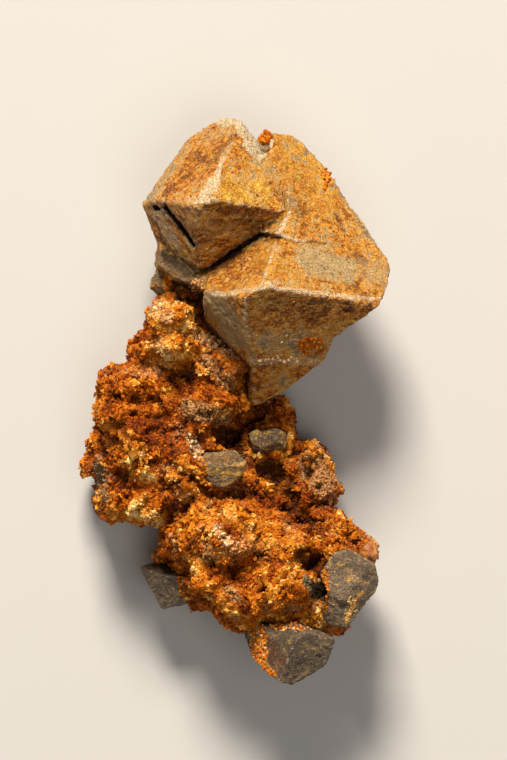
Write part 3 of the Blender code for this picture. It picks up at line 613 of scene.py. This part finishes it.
def build_crust(crystals):
    """The matrix's base: its CAD shape with knotty relief, closed up to the crystals."""
    crust = copy_of(["matrix"], "gossan_base")
    refine(crust, CRUST_VOXEL, 6)
    places = places_of(crust.data)
    normals = normals_of(crust.data)
    resting = rise(REST_BAND - places[:, 2], 0.0, 0.1) * (normals[:, 2] < -0.5)
    near, _ = nearest_faces(crystals, places)
    push = GAP_PUSH * rise(GAP_REACH - near, 0.0, GAP_REACH - GAP_REST)
    relief, pores = crust_relief(places)
    tints = tint_amounts(places, CRUST_TINTS, rise(normals[:, 2], -0.2, 0.3))
    relief *= 1 - EVEN_SHARE * tints["even"]
    relief -= DARK_DEPTH * tints["dark"]
    height = (push + relief * (1 - 0.6 * push / GAP_PUSH)) * (1 - resting)
    places = places + normals * height[:, None]
    places[:, 2] = np.maximum(places[:, 2], 0.0)
    places[:, 2] += resting * 0.3 * rise(layered(places, 0.8, 50, 4), 0.1, 1.1)
    set_places(crust.data, places)
    return crust, pores


def matrix_values(places, openings, facing, spread, use):
    """The colour values of the matrix at places, with painted shade in its crevices, and its tints."""
    tints = tint_amounts(places, CRUST_TINTS, facing)
    scatter = lattice_of(places, use)
    other = lattice_of(places, use + 1)
    _, own = clusters(places)
    tone = 0.5 + 0.12 * layered(places, 3.4, 60, 3) + 0.1 * layered(places, 0.7, 61, 3)
    # Painted shade: the tone drops where fewer directions are open, as in crevices.
    tone += 0.34 * (own - 0.5) + spread * (2 * scatter - 1) + 0.25 * (openings - 0.75)
    for channel, weight in TINT_TONES.items():
        tone += weight * tints[channel]
    pale = rise(0.9 * tints["pale"] + 0.35 * tints["cream"] + 0.5 * other, 0.45, 1.0)
    pale = np.maximum(pale, 0.35 * rise(layered(places, 2.3, 62, 3) + 0.8 * other, 0.9, 1.5))
    tan = rise(1.2 * tints["tan"] + 0.35 * layered(places, 0.9, 63, 3), 0.2, 0.9)
    # Painted shade: the dark value grows in crevices and with the dark tints of pits and hollows.
    dark = np.clip(0.8 * tints["dark"] + 0.48 - openings, 0, 1)
    return {
        "tone": tone,
        "pale": pale * (1 - 0.7 * tints["orange"]),
        "tan": tan,
        "dark": dark,
        "grey": tints["grey"],
    }, tints


def lattice_of(places, use):
    """A repeatable number from 0 to 1 for each place by itself."""
    return lattice(np.round(places * 1000).astype(np.int64), use)


def colour_crust(crust, openings):
    """Keep the tint values on the crust, whose base is kept darker as painted shade between the grains."""
    places = places_of(crust.data)
    normals = normals_of(crust.data)
    facing = rise(normals[:, 2], -0.3, 0.2)
    values, _ = matrix_values(places, openings, facing, 0.04, 70)
    # Painted shade: the base shows only between the grains, so it is made darker.
    values["tone"] -= 0.06
    values["pale"] *= 0.5
    values["dark"] = np.clip(values["dark"] + 0.12, 0, 1)
    set_values(crust.data, values)


def regular_solid(corners, longest):
    """Corners on a unit ball and the outward faces between those closer than a length."""
    corners = np.array(corners, dtype=float)
    corners /= np.linalg.norm(corners[0])
    faces = []
    for trio in itertools.combinations(range(len(corners)), 3):
        a, b, c = corners[list(trio)]
        sides = (np.linalg.norm(a - b), np.linalg.norm(b - c), np.linalg.norm(c - a))
        if max(sides) < longest:
            outward = np.dot(np.cross(b - a, c - a), a + b + c) > 0
            faces.append(trio if outward else trio[::-1])
    return corners, np.array(faces)


def twenty_faced():
    """The blank for the larger grains."""
    long = (1 + math.sqrt(5)) / 2
    corners = []
    for one in (-1, 1):
        for other in (-long, long):
            corners += [(0, one, other), (one, other, 0), (other, 0, one)]
    return regular_solid(corners, 1.1)


def eight_faced():
    """The blank for pointed grains."""
    return regular_solid([(1, 0, 0), (-1, 0, 0), (0, 1, 0), (0, -1, 0), (0, 0, 1), (0, 0, -1)], 1.5)


def prism():
    """The blank for blocky grains: three sides and two ends."""
    corners = []
    for turn in range(3):
        angle = turn * 2 * math.pi / 3
        corners += [(math.cos(angle), math.sin(angle), end) for end in (-0.8, 0.8)]
    corners = np.array(corners) / math.sqrt(1.64)
    faces = [(0, 4, 2), (1, 3, 5)]
    for turn in range(3):
        low, following = 2 * turn, 2 * ((turn + 1) % 3)
        faces += [(low, following, following + 1), (low, following + 1, low + 1)]
    return corners, np.array(faces)


def spins(count, chance):
    """Random rotation matrices."""
    quarter = chance.normal(size=(count, 4))
    w, x, y, z = (quarter / np.linalg.norm(quarter, axis=1)[:, None]).T
    rows = [
        [1 - 2 * (y * y + z * z), 2 * (x * y - z * w), 2 * (x * z + y * w)],
        [2 * (x * y + z * w), 1 - 2 * (x * x + z * z), 2 * (y * z - x * w)],
        [2 * (x * z - y * w), 2 * (y * z + x * w), 1 - 2 * (x * x + y * y)],
    ]
    return np.array(rows).transpose(2, 0, 1)


def grain_mesh(name, blank, centres, sizes, values, chance):
    """One joined mesh of little irregular crystals with their own colour values."""
    corners, faces = blank
    count = len(centres)
    uneven = chance.uniform(0.55, 1.25, size=(count, len(corners), 1))
    stretch = chance.uniform(0.6, 1.4, size=(count, 1, 3))
    local = corners[None] * uneven * stretch
    turned = np.einsum("nij,nkj->nki", spins(count, chance), local)
    places = centres[:, None] + turned * sizes[:, None, None]
    places[:, :, 2] = np.maximum(places[:, :, 2], 0.02)
    all_faces = faces[None] + (np.arange(count) * len(corners))[:, None, None]
    mesh = bpy.data.meshes.new(name)
    mesh.from_pydata((places.reshape(-1, 3) * MM).tolist(), [], all_faces.reshape(-1, 3).tolist())
    set_values(mesh, {key: np.repeat(value, len(corners)) for key, value in values.items()})
    return linked(name, mesh)


def scatter_on(mesh, spacing, chance):
    """Points spread over a mesh about a spacing apart, with the triangle of each."""
    places = places_of(mesh)
    triangles = triangles_of(mesh)
    a, b, c = (places[triangles[:, k]] for k in range(3))
    crossed = np.cross(b - a, c - a)
    area = np.linalg.norm(crossed, axis=1) / 2
    count = int(area.sum() / spacing ** 2 * 4)
    chosen = chance.choice(len(area), size=count, p=area / area.sum())
    u = np.sqrt(chance.uniform(size=count))
    v = chance.uniform(size=count)
    points = (1 - u)[:, None] * a[chosen] + (u * (1 - v))[:, None] * b[chosen] + (u * v)[:, None] * c[chosen]
    cells = np.floor(points / spacing).astype(np.int64)
    _, first = np.unique(cells, axis=0, return_index=True)
    normals = crossed[chosen[first]]
    normals /= np.maximum(np.linalg.norm(normals, axis=1), 1e-12)[:, None]
    return points[first], normals, triangles[chosen[first], 0]


def build_druse(crust, pores, openings, crystals, chance):
    """The sugary grains that cover the matrix, as joined meshes of larger grains and of grit."""
    points, normals, owners = scatter_on(crust.data, GRAIN_SPACING, chance)
    underside = (normals[:, 2] < -0.6) & (points[:, 2] < 0.35)
    sparse = chance.uniform(size=len(points)) < 0.4 * pores[owners]
    near, _ = nearest_faces(crystals, points)
    inside = np.array([gap < 1.5 and buried(crystals, point) for gap, point in zip(near, points)])
    kept = ~inside & ~underside & ~sparse
    points, normals, owners = points[kept], normals[kept], owners[kept]
    coarse = rise(layered(points, 2.2, 80, 3), -0.1, 0.9)
    facing = rise(normals[:, 2], -0.3, 0.2)
    values, tints = matrix_values(points, openings[owners], facing, 0.19, 90)
    sooty = chance.uniform(size=len(points)) < SOOTY_SHARE
    values["dark"] = np.maximum(values["dark"], SOOTY_DARK * sooty)
    smallest = SMALLEST_GRAIN[0] + SMALLEST_GRAIN[1] * coarse
    larger = GRAIN_RANGE[0] + GRAIN_RANGE[1] * coarse
    sizes = smallest + larger * chance.uniform(size=len(points)) ** GRAIN_POWER
    sizes *= 1 + 0.2 * np.maximum(tints["pale"], tints["cream"])
    centres = points + normals * (sizes * chance.uniform(-0.6, 0.5, size=len(points)))[:, None]
    centres[:, 2] = np.maximum(centres[:, 2], sizes * 0.8)
    rounded = chance.uniform(size=len(points)) < ROUND_SHARE + 0.3 * tints["pale"] + 0.12 * coarse
    pointed = ~rounded & (chance.uniform(size=len(points)) < POINTED_SHARE)
    pieces = []
    blanks = {
        "druse": (twenty_faced(), rounded, 1.0),
        "points": (eight_faced(), pointed, 1.25),
        "blocks": (prism(), ~rounded & ~pointed, 1.2),
    }
    for name, (blank, chosen, swell) in blanks.items():
        pieces += joined_grains(name, blank, np.flatnonzero(chosen), centres, sizes * swell, values, chance)
    return pieces


def joined_grains(name, blank, chosen, centres, sizes, values, chance):
    """The chosen grains as joined meshes, from the top end to the bottom end."""
    chosen = chosen[np.argsort(-centres[chosen, 1])]
    pieces = []
    for number, start in enumerate(range(0, len(chosen), GRAIN_CHUNK)):
        part = chosen[start:start + GRAIN_CHUNK]
        own = {key: value[part] for key, value in values.items()}
        pieces.append(grain_mesh(f"{name}_{number + 1}", blank, centres[part], sizes[part], own, chance))
    return pieces


# The crystals


def face_relief(places, faces_normal, rough):
    """Growth relief of crystal faces, in millimetres: low terraces, waves, grit and pits."""
    wave = WAVE_HEIGHT * layered(places, WAVE_SIZE, 100, 3)
    field = 2.2 * layered(places, 3.1, 110, 3) + 1.5 * (places * faces_normal).sum(axis=1)
    terrace = TERRACE_HEIGHT * rise(field - np.floor(field), 0.35, 0.65)
    grit = GRIT_HEIGHT * layered(places, GRIT_SIZE, 120, 2)
    pits = PIT_DEPTH * rise(layered(places, PIT_SIZE, 130, 3), 0.6, 1.2)
    return rough * (wave + terrace + grit - pits)


def build_crystals(name, nodes, voxel, stain, rough, everything):
    """Crystals with fine faces, worn edges, stain values and painted shade."""
    piece = copy_of(nodes, name)
    refine(piece, voxel, 1)
    places = places_of(piece.data)
    normals = normals_of(piece.data)
    _, faces = nearest_faces(tree_of(nodes), places)
    edges = rise(bulge(piece.data, places, normals, 14), 0.03, 0.1)
    chip = CHIP_DEPTH * edges * rise(layered(places, 0.7, 140, 3), -0.1, 0.9)
    height = face_relief(places, faces, rough) - chip
    open_sky = openness(everything, places + 0.1 * normals, normals, 2.5)
    places = places + normals * height[:, None]
    places[:, 2] = np.maximum(places[:, 2], 0.02)
    set_places(piece.data, places)
    worn = bulge(piece.data, places, normals, 12)
    facing = rise(faces[:, 2], -0.1, 0.2)
    tints = tint_amounts(places, CRYSTAL_TINTS, facing)
    lit = rise(faces[:, 1], -0.3, 0.4)
    patchy = 0.6 + 0.4 * rise(layered(places, 0.9, 150, 3), -0.6, 0.5)
    wear = WEAR_SHARE * rough * rise(worn, 0.025, 0.085) * patchy
    hollow = rise(-worn, 0.02, 0.09)
    # Painted shade: the dark value grows in hollows and where little sky is open, near the matrix and other
    # crystals too.
    shade = (1.3 * np.maximum(0.8 - open_sky, 0) + 0.5 * hollow) * (1 - tints["even"])
    values = {channel: tints[channel] for channel in ("yellow", "rust", "grey", "bare")}
    # Painted shade in part: the stain is real, but it grows thicker and darker on faces turned away from +Y,
    # where the key light stands.
    values["stain"] = stain * (0.93 + 0.27 * (1 - lit)) + 0.25 * tints["orange"]
    values["wear"] = np.clip(wear + tints["pale"], 0, 1)
    values["dark"] = np.clip(shade + tints["dark"], 0, DARKEST)
    set_values(piece.data, values)
    return piece


def build_crumbs(crystals, chance):
    """Crumbs of crust and grit stuck on the crystal faces."""
    centres = []
    sizes = []
    tones = []
    pales = []
    for x, y, reach_x, reach_y, count, size, channel in CRUMBS.values():
        tone, pale = CRUMB_LOOKS[channel]
        for _ in range(count):
            angle = chance.uniform(0, 2 * math.pi)
            out = math.sqrt(chance.uniform())
            across = reach_x * out * math.cos(angle)
            along = reach_y * out * math.sin(angle)
            top = Vector((x + across, y + along, ABOVE_ALL))
            found, normal, _, _ = crystals.ray_cast(top, Vector((0.0, 0.0, -1.0)))
            if found is None:
                continue
            radius = size * chance.uniform(0.6, 1.35)
            centres.append(np.array(found + normal * radius * 0.25))
            sizes.append(radius)
            tones.append(tone + chance.uniform(-0.2, 0.15))
            pales.append(pale)
    values = {"tone": np.array(tones), "pale": np.array(pales)}
    return grain_mesh("crumbs", twenty_faced(), np.array(centres), np.array(sizes), values, chance)


# Materials


class Graph:
    """A material's node graph, with short calls for the nodes used here."""

    def __init__(self, name):
        self.material = bpy.data.materials.new(name)
        self.material.use_nodes = True
        self.tree = self.material.node_tree
        self.shader = self.tree.nodes["Principled BSDF"]
        coordinates = self.add("TexCoord").outputs["Object"]
        inputs = {"Vector": coordinates, "Scale": (1 / MM, 1 / MM, 1 / MM)}
        self.place = self.output(self.add("Mapping"), inputs, "Vector")

    def add(self, kind):
        """A new node."""
        return self.tree.nodes.new("ShaderNode" + kind)

    def feed(self, socket, value):
        """Set a socket to a number or colour, or link another node's output to it."""
        if isinstance(value, bpy.types.NodeSocket):
            self.tree.links.new(value, socket)
        else:
            socket.default_value = value

    def output(self, node, inputs, name):
        """An output of a node, whose inputs are fed first."""
        for socket, value in inputs.items():
            self.feed(node.inputs[socket], value)
        return node.outputs[name]

    def surface(self, **inputs):
        """Feed the shader's own inputs, named with low lines for spaces."""
        for name, value in inputs.items():
            self.feed(self.shader.inputs[name.replace("_", " ")], value)

    def value(self, name):
        """One of the mesh's own values."""
        node = self.add("Attribute")
        node.attribute_name = name
        return node.outputs["Fac"]

    def noise(self, size, detail=3.0, rough=0.6, distortion=0.0, place=None):
        """Noise whose bumps are about a size across, in millimetres."""
        inputs = {"Vector": place or self.place, "Scale": 1 / size, "Detail": detail}
        inputs |= {"Roughness": rough, "Distortion": distortion}
        return self.output(self.add("TexNoise"), inputs, "Fac")

    def cells(self, size):
        """Distance to the middle of the nearest cell, for cells about a size across."""
        inputs = {"Vector": self.place, "Scale": 1 / size}
        return self.output(self.add("TexVoronoi"), inputs, "Distance")

    def veins(self, size, wobble):
        """1 on the thin lines between cells about a size across, bent by a wobble, else 0."""
        node = self.add("VectorMath")
        node.operation = "SCALE"
        bend = self.between(wobble, 0.3, 0.7, 0.985, 1.015)
        bent = self.output(node, {0: self.place, "Scale": bend}, "Vector")
        node = self.add("TexVoronoi")
        node.feature = "DISTANCE_TO_EDGE"
        distance = self.output(node, {"Vector": bent, "Scale": 1 / size}, "Distance")
        return self.between(distance, 0.02, 0.1, 1.0, 0.0)

    def turned(self, angle, stretch):
        """The place turned in plan and stretched along one direction."""
        inputs = {"Vector": self.place, "Rotation": (0.0, 0.0, angle), "Scale": (1 / stretch, 1.0, 1.0)}
        return self.output(self.add("Mapping"), inputs, "Vector")

    def sum(self, *terms):
        """The sum of numbers and outputs, each given alone or with its factor."""
        total = 0.0
        for term in terms:
            value, factor = term if isinstance(term, tuple) else (term, 1.0)
            node = self.add("Math")
            node.operation = "MULTIPLY_ADD"
            total = self.output(node, {0: value, 1: factor, 2: total}, 0)
        return total

    def between(self, value, low, high, start=0.0, end=1.0):
        """The value's run from low to high made to run smoothly from start to end."""
        node = self.add("MapRange")
        node.interpolation_type = "SMOOTHSTEP"
        ends = {"From Min": low, "From Max": high, "To Min": start, "To Max": end}
        return self.output(node, {"Value": value, **ends}, "Result")

    def times(self, first, second):
        """Two outputs multiplied."""
        node = self.add("Math")
        node.operation = "MULTIPLY"
        return self.output(node, {0: first, 1: second}, 0)

    def mix(self, factor, first, second, blend="MIX"):
        """A blend of two colours."""
        node = self.add("Mix")
        node.data_type = "RGBA"
        node.blend_type = blend
        return self.output(node, {"Factor": factor, 6: first, 7: second}, 2)

    def ramp(self, factor, *stops):
        """A run of colours, each given with its place from 0 to 1."""
        node = self.add("ValToRGB")
        band = node.color_ramp
        while len(band.elements) < len(stops):
            band.elements.new(0.5)
        for element, (position, colour) in zip(band.elements, stops):
            element.position = position
            element.color = (*colour, 1.0)
        return self.output(node, {"Fac": factor}, "Color")

    def bump(self, height, depth):
        """Relief of a depth in millimetres on the shader's normal."""
        inputs = {"Height": height, "Distance": depth * MM, "Strength": 1.0}
        self.surface(Normal=self.output(self.add("Bump"), inputs, "Normal"))


def crust_material():
    """Iron-stained drusy crust: dark rust to orange and cream, by grain, with painted shade and soot from
    the dark value.
    """
    g = Graph("limonite_druse")
    fine = g.between(g.noise(0.2, 4.0, 0.7), 0.34, 0.66)
    broad = g.between(g.noise(1.3, 3.0, 0.6), 0.34, 0.66)
    tone = g.sum(g.value("tone"), (fine, 0.26), (broad, 0.12), -0.15)
    colour = g.ramp(tone, *CRUST_RUN)
    colour = g.mix(g.value("pale"), colour, g.ramp(fine, *CRUST_CHALK))
    colour = g.mix(g.sum((g.value("tan"), 0.85)), colour, g.ramp(fine, *CRUST_DUN))
    mossy = g.between(g.sum(g.value("grey"), (broad, 0.25)), 0.35, 0.8)
    colour = g.mix(mossy, colour, g.ramp(fine, *CRUST_MOSS))
    # Painted shade in crevices, pits and hollows, and the soot of the dark grains
    colour = g.mix(g.sum((g.value("dark"), 0.82)), colour, CRUST_SOOT_AND_SHADE)
    g.surface(Base_Color=colour, Roughness=g.between(fine, 0.0, 1.0, 0.45, 0.85), Specular_IOR_Level=0.1)
    g.bump(g.sum((g.noise(0.12, 3.0, 0.7), 1.0), (g.cells(0.2), 0.5)), 0.06)
    return g.material


def crystal_material(name, stone, unevenness, speck, depth):
    """Dull stolzite under limonite that runs from a thin tan film to thick rust, with painted glints and
    painted shade.
    """
    g = Graph(name)
    fine_noise = g.noise(0.16, 4.0, 0.72)
    fine = g.between(fine_noise, 0.33, 0.67)
    middle = g.between(g.noise(0.7, 5.0, 0.7, 0.6), 0.32, 0.68)
    broad = g.between(g.noise(2.4, 3.0, 0.6, 0.4), 0.34, 0.66)
    streak = g.between(g.noise(0.3, 5.0, 0.7, 0.8, g.turned(-0.86, 3.4)), 0.32, 0.68)
    veins = g.veins(0.62, g.noise(0.5, 3.0, 0.6))
    uneven = g.sum((middle, 0.5), (streak, 0.44), (broad, 0.3), (fine, 0.26), -0.74)
    thick = g.sum((g.value("stain"), 1.0), (uneven, unevenness), (g.value("grey"), -0.36))
    colour = g.ramp(thick, *stone, *STAIN_RUN)
    mottle = g.sum((fine, 0.5), (middle, 0.5))
    golden = g.sum((g.value("yellow"), 0.75), (middle, 0.4), (streak, 0.35))
    colour = g.mix(g.between(golden, 0.45, 1.1), colour, g.ramp(mottle, *GOLD))
    rusty = g.between(g.sum((g.value("rust"), 1.0), (fine, 0.4), (streak, 0.3)), 0.5, 1.2, 0.0, 0.85)
    colour = g.mix(rusty, colour, RUST)
    cracked = g.times(veins, g.between(g.sum(middle, (broad, 0.7)), 0.75, 1.25, 0.0, 0.6))
    crazed = g.sum((g.value("stain"), 1.2), (g.value("yellow"), -1.4))
    colour = g.mix(g.times(cracked, crazed), colour, VEIN)
    bare = g.between(g.sum((g.value("bare"), 1.0), (fine, 0.25), (middle, 0.4)), 0.4, 1.4, 0.0, 0.85)
    colour = g.mix(bare, colour, g.ramp(mottle, *BLOOM))
    worn = g.between(g.sum((g.value("wear"), 1.0), (fine, 0.35), (middle, 0.3)), 0.5, 1.25, 0.0, 0.9)
    colour = g.mix(worn, colour, g.ramp(fine, *CHALK))
    colour = g.mix(0.9, colour, g.ramp(g.noise(speck, 3.0, 0.75), *SPECKS), "MULTIPLY")
    # Painted glints: small bright spots in the colour, more where the stain is thick.
    painted_glints = g.between(g.noise(0.14, 2.0, 0.7, 0.0, g.turned(0.5, 1.3)), 0.58, 0.7, 0.0, 0.6)
    colour = g.mix(g.times(painted_glints, g.sum((g.value("stain"), 0.8), 0.38)), colour, PAINTED_GLINT)
    # Painted shade from the dark value
    colour = g.mix(g.value("dark"), colour, SHADE)
    g.surface(Base_Color=colour, Roughness=g.between(middle, 0.0, 1.0, 0.36, 0.66), Specular_IOR_Level=0.24)
    g.bump(g.sum((fine_noise, 1.0), (g.noise(0.08, 2.0, 0.7), 0.6), (streak, 0.4), (veins, -0.5)), depth)
    return g.material


def amber_material():
    """Brownish amber that lets a little light through."""
    g = Graph("amber")
    cloud = g.between(g.noise(0.6, 3.0, 0.6, 0.3), 0.35, 0.65)
    g.surface(Base_Color=g.ramp(cloud, *AMBER), Roughness=g.between(cloud, 0.0, 1.0, 0.4, 0.62))
    g.surface(Transmission_Weight=0.35, IOR=1.54)
    g.bump(g.noise(0.18, 3.0, 0.7), 0.06)
    return g.material


def floor_material():
    """Plain pale studio floor."""
    g = Graph("floor")
    g.surface(Base_Color=FLOOR_COLOUR, Roughness=0.9)
    return g.material


# Stage


def build_stage():
    """Floor, world, lights and the camera that looks down on the specimen."""
    half = FLOOR_SIDE / 2
    mesh = bpy.data.meshes.new("floor")
    corners = [(-half, -half, 0), (half, -half, 0), (half, half, 0), (-half, half, 0)]
    mesh.from_pydata(corners, [], [(0, 1, 2, 3)])
    mesh.materials.append(floor_material())
    floor = linked("floor", mesh)
    world = bpy.data.worlds.new("studio")
    world.use_nodes = True
    sky = world.node_tree.nodes["Background"]
    sky.inputs["Color"].default_value = SKY_COLOUR
    sky.inputs["Strength"].default_value = SKY_STRENGTH
    bpy.context.scene.world = world
    for name, settings in LIGHTS.items():
        area_light(name, *settings)
    build_camera()
    bpy.context.scene.view_settings.view_transform = "Standard"


def area_light(name, direction, distance, size, power, colour):
    """A square softbox that faces the specimen."""
    light = bpy.data.lights.new(name, "AREA")
    light.size = size * MM
    light.energy = power
    light.color = colour
    lamp = linked(name, light)
    toward = Vector(direction).normalized()
    lamp.location = (Vector(VIEW_CENTRE) + toward * distance) * MM
    lamp.rotation_euler = toward.to_track_quat("Z", "Y").to_euler()


def build_camera():
    """A long lens straight above, with the specimen's top end up in the picture."""
    data = bpy.data.cameras.new("camera")
    data.lens = LENS
    data.sensor_width = SENSOR
    data.sensor_fit = "AUTO"
    data.clip_end = 100.0
    camera = linked("camera", data)
    above = VIEW_HEIGHT * LENS / SENSOR
    camera.location = (Vector(VIEW_CENTRE) + Vector((0.0, 0.0, above))) * MM
    bpy.context.scene.camera = camera


def build_amber():
    """The amber grain that sits above the right crystal: a lumpy ball with flats."""
    bm = bmesh.new()
    bmesh.ops.create_icosphere(bm, subdivisions=4, radius=1.0)
    mesh = bpy.data.meshes.new("amber_grain")
    bm.to_mesh(mesh)
    bm.free()
    ball = places_of(mesh) * MM
    flats = np.array(AMBER_FLATS)
    flats /= np.linalg.norm(flats, axis=1)[:, None]
    reach = np.maximum((ball @ flats.T).max(axis=1), 0.0)
    ball *= np.where(reach > AMBER_FLAT_REACH, AMBER_FLAT_REACH / np.maximum(reach, 0.01), 1.0)[:, None]
    ball *= (1 + AMBER_LUMPS * layered(ball, 0.55, 170, 3))[:, None]
    set_places(mesh, np.array(AMBER_PLACE) + ball * np.array(AMBER_RADII))
    return linked("amber_grain", mesh)


def dress(piece, material, slot, *nodes, smooth=True):
    """Give a piece its material, shading and body, and hide the nodes it stands for; its slot is not used.
    """
    piece.data.materials.append(material)
    piece.data.polygons.foreach_set("use_smooth", np.full(len(piece.data.polygons), smooth))
    piece.data.update()
    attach(piece, "root")
    if nodes:
        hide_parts(*nodes)


def main():
    """Build the whole picture."""
    chance = np.random.default_rng(SEED)
    build_stage()
    small = list(SMALL_STAINS)
    crystals = tree_of(["stolzite_main"] + small)
    everything = tree_of(["matrix", "stolzite_main"] + small)
    crust, pores = build_crust(crystals)
    shape = BVHTree.FromPolygons(places_of(crust.data).tolist(), triangles_of(crust.data).tolist())
    openings = openness(shape, places_of(crust.data), normals_of(crust.data), 2.4)
    colour_crust(crust, openings)
    crusty = crust_material()
    dress(crust, crusty, "matrix", "matrix")
    for piece in build_druse(crust, pores, openings, crystals, chance):
        dress(piece, crusty, "matrix", smooth=piece.name.startswith("druse"))
    stained = crystal_material("stolzite_stained", STAINED_STONE, 1.15, 0.12, 0.15)
    # The grey crystals' darkness is partly painted shadow under the matrix.
    plain = crystal_material("stolzite_grey_shaded", SHADED_GREY_STONE, 0.34, 0.17, 0.085)
    group = build_crystals("stolzite_group", ["stolzite_main"], MAIN_VOXEL, MAIN_STAIN, 1.0, everything)
    dress(group, stained, "crystal", "stolzite_main")
    for node in small:
        stain = SMALL_STAINS[node]
        piece = build_crystals(node + "_faces", [node], SMALL_VOXEL, stain, SMALL_ROUGH, everything)
        dress(piece, plain, "crystal", node)
    dress(build_crumbs(crystals, chance), crusty, "matrix", smooth=False)
    dress(build_amber(), amber_material(), "matrix")


main()
